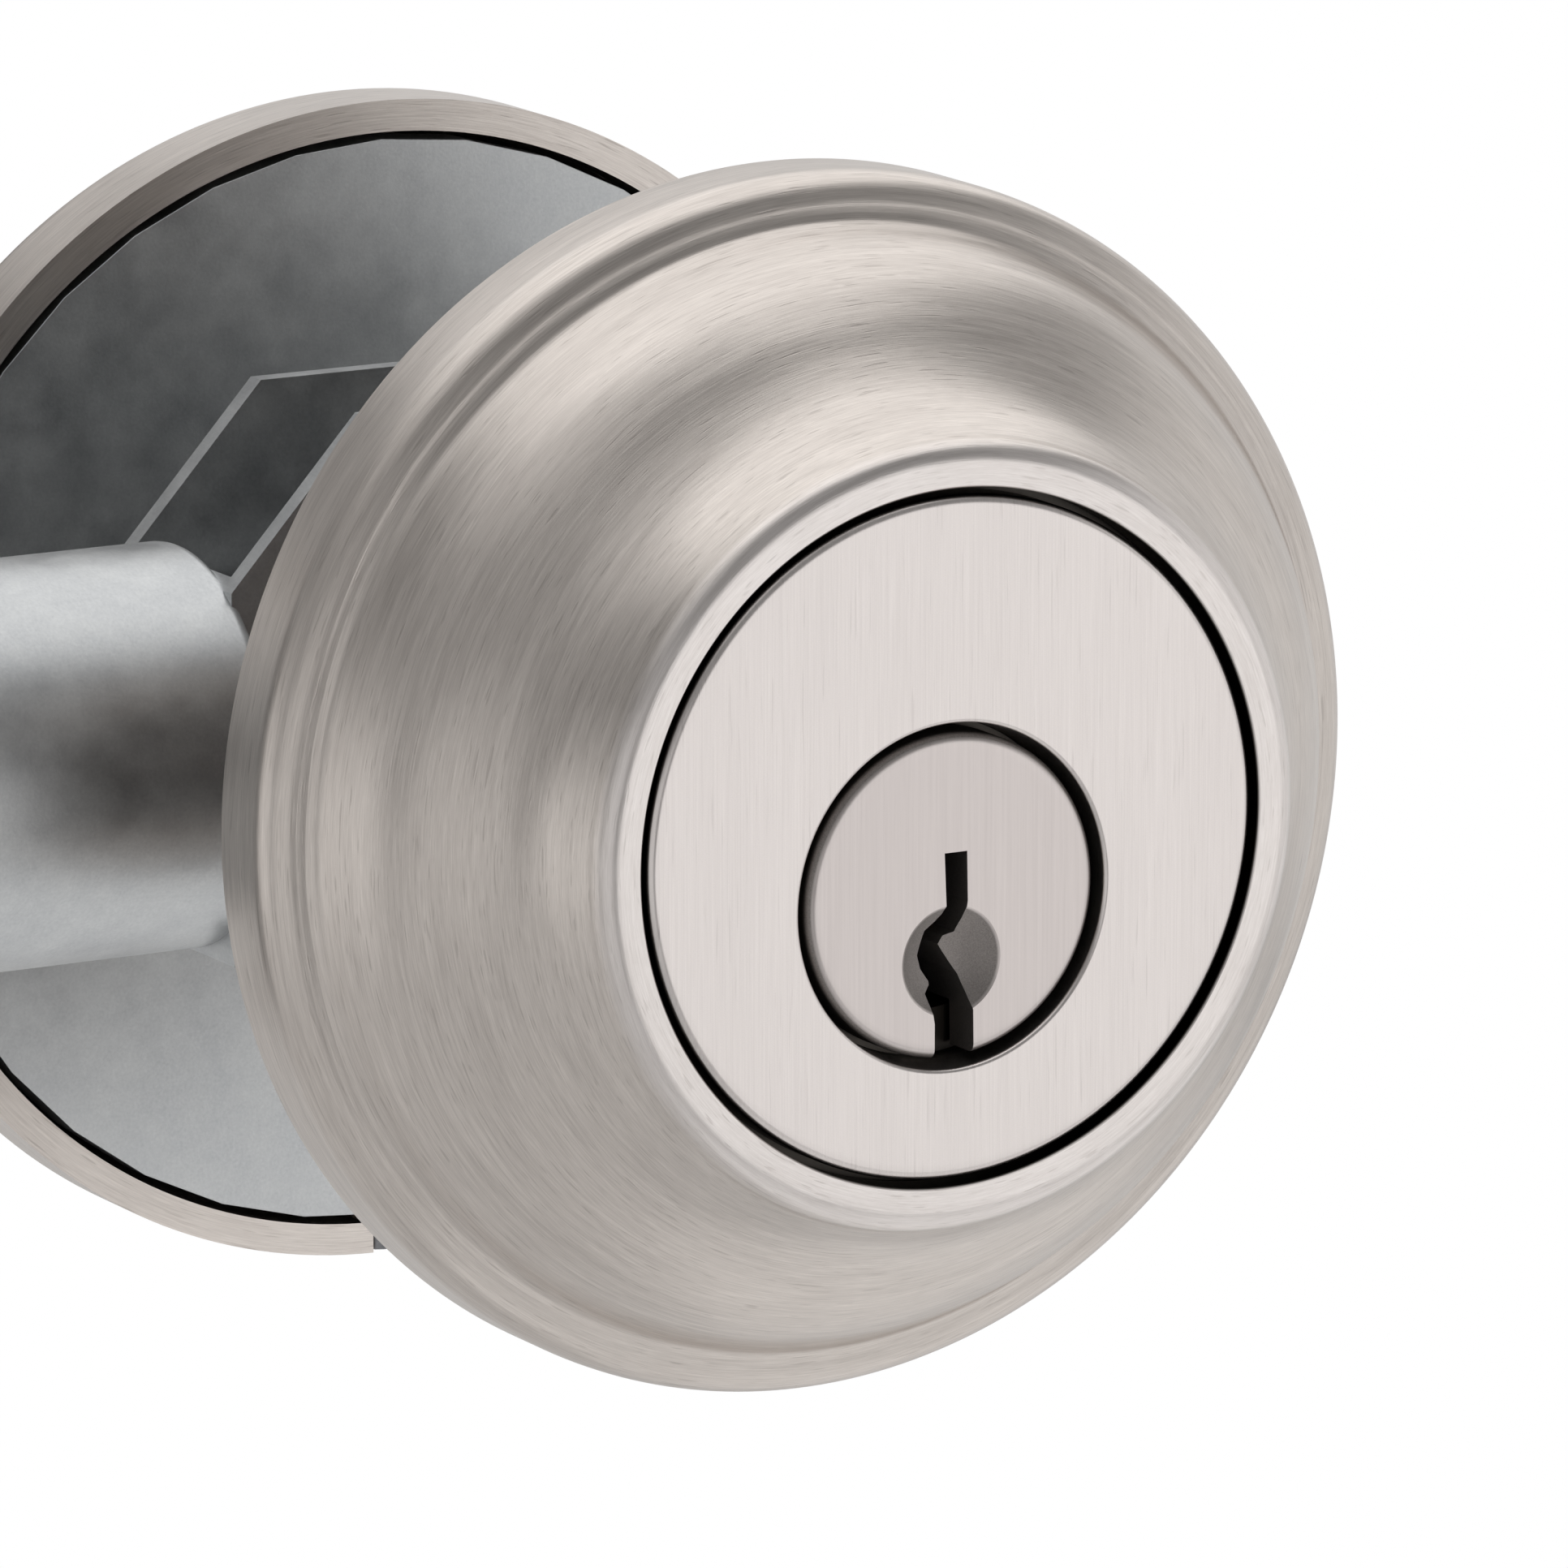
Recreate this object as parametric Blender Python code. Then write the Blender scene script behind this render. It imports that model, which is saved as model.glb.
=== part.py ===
"""Single-cylinder tubular deadbolt: cylinder and exterior rose, latch, interior rose and thumbturn.

Metres, +Z up. The outside of the door faces -Y, the bolt is thrown towards -X. The origin is the centre
of the exterior rose's back, on the door's outer face.
"""

import math

import bmesh
import bpy
from mathutils import Matrix, Vector

MM = 0.001

# The door that the lock is made for.
DOOR_THICKNESS = 44.45 * MM
BACKSET = 60.3 * MM
AXIS_Z = -3.1 * MM  # plug, tailpiece, hub and thumbturn turn about a line this far below the rose's centre

# Clearances.
GAP = 0.3 * MM  # between pieces that rest on each other
RUN = 0.4 * MM  # between pieces that move past each other
OVER = 1.0 * MM  # how far a cutter reaches past the face that it cuts

# Roses.
ROSE_RADIUS = 33.3 * MM
ROSE_WALL = 1.8 * MM
ROSE_HEIGHT = 19.3 * MM
RIM_HEIGHT = 5.2 * MM
RIM_ROUND = 1.0 * MM
RIM_LEDGE = 1.9 * MM
OGEE_WAVE = 0.25 * MM
LIP_WIDTH = 1.75 * MM
LIP_ROUND = 0.8 * MM
LIP_THICKNESS = 2.0 * MM
INSIDE_ROSE_HEIGHT = 13.0 * MM
INSIDE_LIP_WIDTH = 5.0 * MM
INSIDE_OGEE_WAVE = 0.9 * MM

# Lock cylinder.
FACE_RADIUS = 18.35 * MM
FACE_ROUND = 0.5 * MM
FACE_GAP = 0.4 * MM
FACE_SINK = 0.1 * MM
FLANGE_LIP = 1.55 * MM  # how far the flange reaches past the face, behind the rose's lip
FLANGE_THICKNESS = 4.0 * MM
BARREL_WALL = 3.55 * MM
HOUSING_REAR = 7.0 * MM
TOWER_WIDTH = 8.4 * MM
POST_RADIUS = 3.5 * MM
POST_SPACING = 31.0 * MM
POST_END = 9.0 * MM
POST_BORE_DEPTH = 17.0 * MM

# Plug and pin stacks.
PLUG_RADIUS = 6.35 * MM
PLUG_FLANGE_RADIUS = 8.75 * MM
PLUG_FLANGE_THICKNESS = 2.5 * MM
PLUG_FLANGE_GAP = 0.6 * MM
PLUG_SINK = 0.2 * MM
PLUG_TAIL = 3.4 * MM  # how far the plug reaches past the housing
PIN_COUNT = 5
PIN_PITCH = 3.96 * MM
PIN_RADIUS = 1.45 * MM
FIRST_PIN = 2.1 * MM  # from the back of the housing's flange
PIN_HOLE_FLOOR = -1.2 * MM
PIN_CUTS = [0.2 * MM, -0.5 * MM, 0.6 * MM, -0.2 * MM, 0.9 * MM]
DRIVER_LENGTH = 4.6 * MM
SPRING_LENGTH = 5.7 * MM
SPRING_WIRE = 0.4 * MM
SPRING_TURNS = 5
COVER_WIDTH = 4.6 * MM
COVER_THICKNESS = 0.7 * MM
CLIP_THICKNESS = 1.0 * MM
CLIP_WIDTH = 2.7 * MM
CLIP_GROOVE = 0.95 * MM
KEYWAY_TOP = 2.4 * MM
KEYWAY_LENGTH = 26.0 * MM
DIMPLE_RADIUS = 3.0 * MM
DIMPLE_DEPTH = 0.9 * MM
DIMPLE_DROP = 3.5 * MM

# Tailpiece and the drive from the plug to it.
BLADE_WIDTH = 5.2 * MM
BLADE_THICKNESS = 1.6 * MM
DRIVE_HEIGHT = 1.2 * MM
DRIVE_HALF_ANGLE = math.radians(14)
TAIL_HEAD_THICKNESS = 0.8 * MM
CAP_WALL = 1.1 * MM
CAP_FLOOR = 0.8 * MM

# Latch and bolt.
BOLT_THROW = 25.4 * MM
BOLT_WIDTH = 15.9 * MM
BOLT_HEIGHT = 19.0 * MM
BOLT_LENGTH = 34.3 * MM
BOLT_CHAMFER = 0.8 * MM
CORE_RADIUS = 2.9 * MM
CORE_LENGTH = 28.0 * MM
CORE_DROP = 2.6 * MM
TUBE_WALL = 1.0 * MM
TUBE_BACK = 1.2 * MM
SIDE_INNER = 5.5 * MM
SIDE_THICKNESS = 1.2 * MM
CASE_REAR_MARGIN = 5.0 * MM  # past the rear mounting screw
FACEPLATE_MARGIN = 1.6 * MM  # past the latch's tube
FACEPLATE_HEIGHT = 57.15 * MM
FACEPLATE_THICKNESS = 2.4 * MM
FACEPLATE_CORNER = 6.35 * MM
BACKPLATE_THICKNESS = 1.5 * MM
BACKPLATE_INSET = 0.5 * MM
EDGE_SCREW_SPACING = 41.3 * MM
EDGE_SCREW_LENGTH = 19.0 * MM
EDGE_SCREW_RADIUS = 2.1 * MM
EDGE_SCREW_HEAD = 4.1 * MM

# Hub, crank and the fork that the crank pin drives.
HUB_JOURNAL = 5.2 * MM
HUB_BODY = 6.5 * MM
HUB_SQUARE = 3.65 * MM
HUB_REACH = 7.5 * MM
CRANK_THICKNESS = 3.2 * MM
CRANK_BOSS = 6.9 * MM
CRANK_END = 3.6 * MM
CRANK_PIN_RADIUS = 1.5 * MM
FORK_THICKNESS = 4.4 * MM
FORK_TINE = 2.2 * MM
TAIL_BAR_Z = 4.9 * MM
TAIL_BAR_HEIGHT = 2.7 * MM
TAIL_BAR_GRIP = 10.0 * MM
TAIL_PIN_RADIUS = 1.0 * MM

# Interior side.
PLATE_THICKNESS = 2.4 * MM
PLATE_HOLE = 6.0 * MM
SCREW_RADIUS = 2.3 * MM
SCREW_HEAD_RADIUS = 4.6 * MM
SCREW_HEAD_HEIGHT = 2.3 * MM
SCREW_GRIP = 12.0 * MM  # how far a mounting screw reaches into its post
SET_SCREW_RADIUS = 1.25 * MM
SET_SCREW_LENGTH = 3.8 * MM
SET_SCREW_SOCKET = 0.7 * MM
SHAFT_RADIUS = 5.5 * MM
COLLAR_RADIUS = 8.5 * MM
COLLAR_THICKNESS = 2.6 * MM
NECK_RADIUS = 4.6 * MM
NECK_LENGTH = 6.0 * MM
PADDLE_LENGTH = 35.0 * MM
PADDLE_WIDTH = 9.0 * MM
PADDLE_DEPTH = 15.0 * MM
RING_THICKNESS = 0.8 * MM
RING_WIDTH = 2.8 * MM
WASHER_THICKNESS = 0.3 * MM
WASHER_WAVE = 0.15 * MM

# Values worked out from the sizes above.
LATCH_Y = DOOR_THICKNESS / 2
QUARTER_TURN = math.pi / 2
FACE_Y = -(ROSE_HEIGHT - FACE_SINK)
FLANGE_FRONT = -(ROSE_HEIGHT - LIP_THICKNESS - GAP)
FLANGE_BACK = FLANGE_FRONT + FLANGE_THICKNESS
LIP_HOLE = FACE_RADIUS + FACE_GAP
FLANGE_RADIUS = FACE_RADIUS + FLANGE_LIP
PLUG_BORE = PLUG_RADIUS + GAP
BARREL_RADIUS = PLUG_BORE + BARREL_WALL
PLUG_FRONT = FACE_Y + PLUG_SINK
PLUG_SHOULDER = PLUG_FRONT + PLUG_FLANGE_THICKNESS
PLUG_REAR = HOUSING_REAR + PLUG_TAIL
PIN_HOLE = PIN_RADIUS + GAP
DRIVER_Z = PLUG_BORE + GAP / 3
SPRING_Z = DRIVER_Z + DRIVER_LENGTH + GAP
COVER_Z = SPRING_Z + SPRING_LENGTH + GAP
TOWER_TOP = COVER_Z + COVER_THICKNESS
CAP_RADIUS = PLUG_RADIUS
TAIL_HEAD_RADIUS = CAP_RADIUS - CAP_WALL - RUN
DRIVE_OUTER = TAIL_HEAD_RADIUS - RUN
DRIVE_INNER = DRIVE_OUTER / 2
CRANK_RADIUS = BOLT_THROW / (2 * math.sin(QUARTER_TURN / 2))
BLADE_SLOT = (BLADE_WIDTH + 2 * GAP, BLADE_THICKNESS + 2 * GAP)
CRANK_FRONT = LATCH_Y - SIDE_INNER + GAP + RUN
FORK_FRONT = CRANK_FRONT + CRANK_THICKNESS + 2 * GAP
FORK_REST_X = BOLT_THROW / 2
TUBE_END_X = -(BACKSET - BOLT_LENGTH) + 2 * RUN
TUBE_BORE = BOLT_HEIGHT / 2 + 1.5 * RUN
TUBE_RADIUS = TUBE_BORE + TUBE_WALL
FACEPLATE_WIDTH = 2 * (TUBE_RADIUS + FACEPLATE_MARGIN)
CASE_REAR = POST_SPACING / 2 + CASE_REAR_MARGIN
CASE_TOP = AXIS_Z + CRANK_RADIUS + CRANK_END
INSIDE_LIP_Y = DOOR_THICKNESS + INSIDE_ROSE_HEIGHT
BLADE_END = INSIDE_LIP_Y - 1.5 * GAP
PLATE_RADIUS = ROSE_RADIUS - ROSE_WALL - RUN
INSIDE_HOLE = SHAFT_RADIUS + RUN


def material(name, colour, roughness, metallic=1.0):
    made = bpy.data.materials.new(name)
    made.use_nodes = True
    shader = made.node_tree.nodes["Principled BSDF"]
    shader.inputs["Base Color"].default_value = (*colour, 1.0)
    shader.inputs["Roughness"].default_value = roughness
    shader.inputs["Metallic"].default_value = metallic
    return made


def mesh_object(name, bm, finish=None, at=(0, 0, 0)):
    bmesh.ops.remove_doubles(bm, verts=bm.verts, dist=0.001 * MM)
    bmesh.ops.recalc_face_normals(bm, faces=bm.faces)
    mesh = bpy.data.meshes.new(name)
    bm.to_mesh(mesh)
    bm.free()
    mesh.shade_smooth()
    mesh.set_sharp_from_angle(angle=math.radians(30))
    if finish:
        mesh.materials.append(finish)
    made = bpy.data.objects.new(name, mesh)
    made.location = at
    bpy.context.scene.collection.objects.link(made)
    return made


def hidden_tool(target, kind, bm, at=None):
    """Cuts a shape from the target, or joins it on, with a helper that lies where the target does."""
    name = f"{target.name}_{kind.lower()}_{len(target.modifiers)}"
    tool = mesh_object(name, bm, at=target.location if at is None else at)
    tool.hide_render = True
    tool.display_type = "WIRE"
    modifier = target.modifiers.new(kind.title(), "BOOLEAN")
    modifier.operation = kind
    modifier.solver = "EXACT"
    modifier.object = tool
    return tool


def cut(target, bm, at=None):
    return hidden_tool(target, "DIFFERENCE", bm, at)


def join(target, bm, at=None):
    return hidden_tool(target, "UNION", bm, at)


def arc(centre, radius, start, end, steps):
    """Points on a circle, from one angle to another, in degrees."""
    angles = [math.radians(start + (end - start) * i / steps) for i in range(steps + 1)]
    return [(centre[0] + radius * math.cos(a), centre[1] + radius * math.sin(a)) for a in angles]


def turned(outline, steps=48, closed=True):
    """Spins an outline of (radius, y) about the Y axis. An open outline starts and ends on the axis."""
    bm = bmesh.new()
    verts = [bm.verts.new((radius, y, 0)) for radius, y in outline]
    edges = [bm.edges.new(pair) for pair in zip(verts, verts[1:])]
    if closed:
        edges.append(bm.edges.new((verts[-1], verts[0])))
    bmesh.ops.spin(
        bm, geom=verts + edges, cent=(0, 0, 0), axis=(0, 1, 0), angle=math.tau, steps=steps, use_merge=True
    )
    return bm


def rod(radius, low, high, steps=24):
    """A cylinder along Y."""
    return turned([(0, low), (radius, low), (radius, high), (0, high)], steps, closed=False)


def prism(outline, low, high):
    """An outline of (x, z), given a thickness along Y."""
    bm = bmesh.new()
    face = bm.faces.new([bm.verts.new((x, low, z)) for x, z in outline])
    grown = bmesh.ops.extrude_face_region(bm, geom=[face])["geom"]
    moved = [v for v in grown if isinstance(v, bmesh.types.BMVert)]
    bmesh.ops.translate(bm, verts=moved, vec=(0, high - low, 0))
    return bm


def rectangle(width, bottom, top):
    return [(-width / 2, bottom), (width / 2, bottom), (width / 2, top), (-width / 2, top)]


def moved(bm, to=(0, 0, 0), turn=None):
    if turn is not None:
        bm.transform(turn)
    bm.transform(Matrix.Translation(to))
    return bm


def merged(*parts):
    """Several shapes that don't touch, as one helper mesh."""
    whole = bmesh.new()
    for part in parts:
        mesh = bpy.data.meshes.new("part")
        bmesh.ops.recalc_face_normals(part, faces=part.faces)
        part.to_mesh(mesh)
        part.free()
        whole.from_mesh(mesh)
        bpy.data.meshes.remove(mesh)
    return whole


TO_X = Matrix.Rotation(-QUARTER_TURN, 4, "Z")  # what lies along +Y lies along +X
TO_Z = Matrix.Rotation(QUARTER_TURN, 4, "X")  # what lies along +Y lies along +Z


def stadium(width, height, steps=10):
    """A slot outline, taller than wide, centred."""
    radius = width / 2
    reach = height / 2 - radius
    return arc((0, reach), radius, 0, 180, steps) + arc((0, -reach), radius, 180, 360, steps)


def rounded_rectangle(width, height, corner, steps=5):
    points = []
    for sx, sz, start in ((1, 1, 0), (-1, 1, 90), (-1, -1, 180), (1, -1, 270)):
        centre = (sx * (width / 2 - corner), sz * (height / 2 - corner))
        points += arc(centre, corner, start, start + 90, steps)
    return points


def sector(inner, outer, middle, half):
    """A block between two radii, as an outline of (x, z)."""
    start, end = math.degrees(middle - half), math.degrees(middle + half)
    return arc((0, 0), outer, start, end, 3) + arc((0, 0), inner, end, start, 3)


def open_ring(inner, outer, low, high, gap_angle=60):
    """A retaining ring: a C with its gap at the bottom."""
    start, end = -90 + gap_angle / 2, 270 - gap_angle / 2
    return prism(arc((0, 0), outer, start, end, 28) + arc((0, 0), inner, end, start, 28), low, high)


def rose_outline(height, lip_width, hole, wave):
    """(radius, height) round the section of a rose: rim, ledge, ogee, lip, and the same again inside."""
    foot = Vector((ROSE_RADIUS - RIM_LEDGE, RIM_HEIGHT + 0.4 * MM))
    lip_radius = hole + lip_width
    neck = Vector((lip_radius + LIP_ROUND, height - 1.25 * LIP_ROUND))
    along = neck - foot
    outward = Vector((along.y, -along.x)).normalized()
    steps = 8
    ogee, inside = [], []
    for i in range(steps + 1):
        t = i / steps
        point = foot + t * along + wave * math.sin(math.tau * t) * outward
        ogee.append(tuple(point))
        inside.append(tuple(point - ROSE_WALL * outward))
    under_lip = height - LIP_THICKNESS
    bore = lip_radius + 0.1 * MM
    inside = [p for p in inside if p[1] < under_lip - 0.8 * MM and p[0] > bore]
    rim = [(ROSE_RADIUS, 0)]
    rim += arc((ROSE_RADIUS - RIM_ROUND, RIM_HEIGHT - RIM_ROUND), RIM_ROUND, 0, 75, 3)
    lip = arc((lip_radius, height - LIP_ROUND), LIP_ROUND, 35, 90, 2) + [(hole, height)]
    back = [(hole, under_lip), (bore, under_lip)] + inside[::-1]
    rim_inside = ROSE_RADIUS - ROSE_WALL
    back += [(rim_inside, RIM_HEIGHT - ROSE_WALL), (rim_inside, 0)]
    return rim + ogee + lip + back


def exterior_rose(finish):
    outline = [(r, -h) for r, h in rose_outline(ROSE_HEIGHT, LIP_WIDTH, LIP_HOLE, OGEE_WAVE)]
    return mesh_object("rose_exterior", turned(outline, 48), finish)


def housing_outline():
    """The barrel with the pin tower on it, as one outline of (x, z) about the plug's axis."""
    lean = math.degrees(math.asin(TOWER_WIDTH / 2 / BARREL_RADIUS))
    around = arc((0, 0), BARREL_RADIUS, 90 + lean, 450 - lean, 30)
    return around + [(TOWER_WIDTH / 2, TOWER_TOP), (-TOWER_WIDTH / 2, TOWER_TOP)]


def pin_places():
    first = FLANGE_BACK + FIRST_PIN
    return [first + i * PIN_PITCH for i in range(PIN_COUNT)]


def pin_holes(bottom, top):
    """One upright hole for each pin stack, as a cutter about the plug's axis."""
    holes = [moved(rod(PIN_HOLE, bottom, top, 12), (0, y, 0), TO_Z) for y in pin_places()]
    return merged(*holes)


def cylinder_housing(finish):
    face = arc((FACE_RADIUS - FACE_ROUND, FACE_Y + FACE_ROUND), FACE_ROUND, -90, 0, 3)
    back = [(FACE_RADIUS, FLANGE_FRONT), (FLANGE_RADIUS, FLANGE_FRONT), (FLANGE_RADIUS, FLANGE_BACK)]
    outline = [(0, FACE_Y)] + face + back + [(0, FLANGE_BACK)]
    housing = mesh_object("cylinder_housing", turned(outline, 48, closed=False), finish)
    axis = (0, 0, AXIS_Z)
    join(housing, prism(housing_outline(), FLANGE_BACK - OVER, HOUSING_REAR), axis)
    for side in (-1, 1):
        post = moved(rod(POST_RADIUS, FLANGE_BACK - OVER, POST_END), (side * POST_SPACING / 2, 0, 0))
        join(housing, post, axis)
    flange_room = PLUG_FLANGE_RADIUS + PLUG_FLANGE_GAP
    bore = [(0, FACE_Y - OVER), (flange_room, FACE_Y - OVER), (flange_room, PLUG_SHOULDER + GAP)]
    bore += [(PLUG_BORE, PLUG_SHOULDER + GAP), (PLUG_BORE, HOUSING_REAR + OVER), (0, HOUSING_REAR + OVER)]
    cut(housing, turned(bore, 32, closed=False), axis)
    cut(housing, pin_holes(PLUG_RADIUS - OVER, TOWER_TOP + OVER), axis)
    slot = rectangle(COVER_WIDTH + 2 * GAP, COVER_Z - GAP, TOWER_TOP + OVER)
    cut(housing, prism(slot, FLANGE_BACK + GAP, HOUSING_REAR + OVER), axis)
    for side in (-1, 1):
        hole = rod(SCREW_RADIUS + GAP, POST_END - POST_BORE_DEPTH, POST_END + OVER)
        cut(housing, moved(hole, (side * POST_SPACING / 2, 0, 0)), axis)
    return housing


def keyway_outline():
    """The warded slot, from its top edge round to where it opens at the plug's bottom."""
    right = [(0.95, 2.35), (1.0, -0.35), (0.85, -1.3), (0.55, -2.1), (-0.1, -2.25), (-0.35, -2.7)]
    bottom = -(PLUG_FLANGE_RADIUS + OVER) / MM
    right += [(0.1, -3.35), (0.8, -4.4), (1.1, -5.3), (1.35, -6.3), (1.4, bottom)]
    left = [(-1.0, bottom), (-1.0, -6.8), (-1.15, -5.9), (-1.35, -5.2), (-1.0, -4.8), (-1.0, -4.6)]
    left += [(-1.5, -3.9), (-1.75, -3.1), (-1.4, -1.8), (-0.8, -1.35), (-0.45, -0.95), (-0.3, -0.5)]
    left += [(-0.42, 2.3)]
    drop = KEYWAY_TOP / MM - 2.35
    return [(x * MM, (z + drop) * MM) for x, z in right + left][::-1]


def plug(finish):
    groove_low = HOUSING_REAR + GAP
    groove_high = groove_low + CLIP_THICKNESS + 2 * GAP
    waist = PLUG_RADIUS - CLIP_GROOVE
    outline = [(0, PLUG_FRONT), (PLUG_FLANGE_RADIUS, PLUG_FRONT), (PLUG_FLANGE_RADIUS, PLUG_SHOULDER)]
    outline += [(PLUG_RADIUS, PLUG_SHOULDER), (PLUG_RADIUS, groove_low), (waist, groove_low)]
    outline += [(waist, groove_high), (PLUG_RADIUS, groove_high), (PLUG_RADIUS, PLUG_REAR), (0, PLUG_REAR)]
    made = mesh_object("plug", turned(outline, 32, closed=False), finish, (0, 0, AXIS_Z))
    cut(made, prism(keyway_outline(), PLUG_FRONT - OVER, PLUG_FRONT + KEYWAY_LENGTH))
    dish = [(0, DIMPLE_DEPTH), (DIMPLE_RADIUS * 0.6, DIMPLE_DEPTH * 0.7), (DIMPLE_RADIUS, 0)]
    dish += [(DIMPLE_RADIUS, -OVER), (0, -OVER)]
    cut(made, moved(turned(dish, 24, closed=False), (0, PLUG_FRONT, -DIMPLE_DROP)))
    cut(made, pin_holes(PIN_HOLE_FLOOR, PLUG_RADIUS + OVER))
    dog = sector(DRIVE_INNER, DRIVE_OUTER, QUARTER_TURN, DRIVE_HALF_ANGLE)
    join(made, prism(dog, PLUG_REAR - OVER, PLUG_REAR + DRIVE_HEIGHT))
    return made


def pin_stack(index, y, brass, steel):
    """Key pin in the plug, driver and spring above it in the housing, meeting at the shear line."""
    tip = PIN_CUTS[index % len(PIN_CUTS)]
    top = PLUG_RADIUS - GAP / 3
    outline = [(0, tip), (0.4 * MM, tip), (PIN_RADIUS, tip + 0.7 * PIN_RADIUS), (PIN_RADIUS, top), (0, top)]
    axis = (0, y, AXIS_Z)
    key_pin = moved(turned(outline, 12, closed=False), turn=TO_Z)
    key = mesh_object(f"key_pin_{index + 1}", key_pin, brass, axis)
    driver = moved(rod(PIN_RADIUS, DRIVER_Z, DRIVER_Z + DRIVER_LENGTH, 12), turn=TO_Z)
    mesh_object(f"driver_pin_{index + 1}", driver, brass, axis)
    mesh_object(f"pin_spring_{index + 1}", coil(), steel, axis)
    return key


def coil():
    """A round wire wound about Z, from just above the driver to just under the cover."""
    sides, around = 4, 8
    radius = PIN_RADIUS - SPRING_WIRE / 2 - GAP / 3
    low, high = SPRING_Z + SPRING_WIRE / 2, SPRING_Z + SPRING_LENGTH - SPRING_WIRE / 2
    bm = bmesh.new()
    loop = []
    steps = SPRING_TURNS * around
    for i in range(steps + 1):
        angle = math.tau * i / around
        height = low + (high - low) * i / steps
        outward = Vector((math.cos(angle), math.sin(angle), 0))
        ring = []
        for j in range(sides):
            turn = math.tau * j / sides
            reach = radius + SPRING_WIRE / 2 * math.cos(turn)
            lift = SPRING_WIRE / 2 * math.sin(turn)
            ring.append(bm.verts.new(outward * reach + Vector((0, 0, height + lift))))
        if loop:
            for j in range(sides):
                k = (j + 1) % sides
                bm.faces.new((loop[j], loop[k], ring[k], ring[j]))
        else:
            bm.faces.new(ring)
        loop = ring
    bm.faces.new(loop[::-1])
    return bm


def pin_cover(finish):
    strip = rectangle(COVER_WIDTH, COVER_Z, COVER_Z + COVER_THICKNESS)
    bm = prism(strip, FLANGE_BACK + 2 * GAP, HOUSING_REAR)
    return mesh_object("pin_cover", bm, finish, (0, 0, AXIS_Z))


def plug_clip(finish):
    inner = PLUG_RADIUS - CLIP_GROOVE + GAP
    low = HOUSING_REAR + 2 * GAP
    bm = open_ring(inner, inner + CLIP_WIDTH, low, low + CLIP_THICKNESS)
    return mesh_object("plug_retaining_clip", bm, finish, (0, 0, AXIS_Z))


def tailpiece_cap(finish):
    low = PLUG_REAR + GAP
    high = PLUG_REAR + GAP + 2 * DRIVE_HEIGHT + TAIL_HEAD_THICKNESS - RUN + CAP_FLOOR
    hole = BLADE_WIDTH / 2 + 2.5 * RUN
    bore = CAP_RADIUS - CAP_WALL
    outline = [(CAP_RADIUS, low), (CAP_RADIUS, high), (hole, high), (hole, high - CAP_FLOOR)]
    outline += [(bore, high - CAP_FLOOR), (bore, low)]
    return mesh_object("tailpiece_cap", turned(outline, 24), finish, (0, 0, AXIS_Z))


def tailpiece(finish):
    """A flat blade on a round head, with the dog that the plug's dog pushes after its free turn."""
    head = PLUG_REAR + DRIVE_HEIGHT + RUN
    made = mesh_object(
        "tailpiece", rod(TAIL_HEAD_RADIUS, head, head + TAIL_HEAD_THICKNESS, 32), finish, (0, 0, AXIS_Z)
    )
    blade = rectangle(BLADE_THICKNESS, -BLADE_WIDTH / 2, BLADE_WIDTH / 2)
    join(made, prism(blade, head + TAIL_HEAD_THICKNESS / 2, BLADE_END))
    free_turn_middle = QUARTER_TURN - 1.25 * math.pi
    dog = sector(DRIVE_INNER, DRIVE_OUTER, free_turn_middle, DRIVE_HALF_ANGLE)
    join(made, prism(dog, PLUG_REAR + RUN, head + TAIL_HEAD_THICKNESS / 2))
    return made


def along_x(bm):
    """What was modelled along Y, with its width along X, lies along the latch, with its width along Y."""
    return moved(bm, (0, LATCH_Y, 0), TO_X)


def edge_plate(name, finish, size, opening, hole_radius):
    """A plate across the door's edge: its size is (width, height, corner, low, high)."""
    width, height, corner, low, high = size
    plate = mesh_object(name, along_x(prism(rounded_rectangle(width, height, corner), low, high)), finish)
    cut(plate, along_x(prism(opening, low - OVER, high + OVER)))
    for side in (-1, 1):
        hole = moved(rod(hole_radius, low - OVER, high + OVER, 16), edge_screw_place(side))
        cut(plate, along_x(hole))
    return plate


def edge_screw_place(side):
    return (0, 0, side * EDGE_SCREW_SPACING / 2)


def faceplate(finish):
    outer = -BACKSET
    size = (FACEPLATE_WIDTH, FACEPLATE_HEIGHT, FACEPLATE_CORNER, outer, outer + FACEPLATE_THICKNESS)
    slot = stadium(BOLT_WIDTH + 2 * RUN, BOLT_HEIGHT + 2 * RUN)
    hole = EDGE_SCREW_RADIUS + GAP
    plate = edge_plate("faceplate", finish, size, slot, hole)
    head = EDGE_SCREW_HEAD + GAP
    depth = head - hole
    sink = [(0, outer - OVER), (head + OVER, outer - OVER), (hole, outer + depth), (0, outer + depth)]
    for side in (-1, 1):
        cut(plate, along_x(moved(turned(sink, 16, closed=False), edge_screw_place(side))))
    return plate


def backplate(finish):
    """The plate behind the faceplate, round the tube, that lies on the mortise in the door's edge."""
    low = -BACKSET + FACEPLATE_THICKNESS + GAP
    width, height = FACEPLATE_WIDTH - 2 * BACKPLATE_INSET, FACEPLATE_HEIGHT - 2 * BACKPLATE_INSET
    size = (width, height, FACEPLATE_CORNER - BACKPLATE_INSET, low, low + BACKPLATE_THICKNESS)
    opening = arc((0, 0), TUBE_RADIUS + GAP, 0, 348.75, 31)
    return edge_plate("latch_backplate", finish, size, opening, EDGE_SCREW_RADIUS + 2 * GAP)


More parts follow.
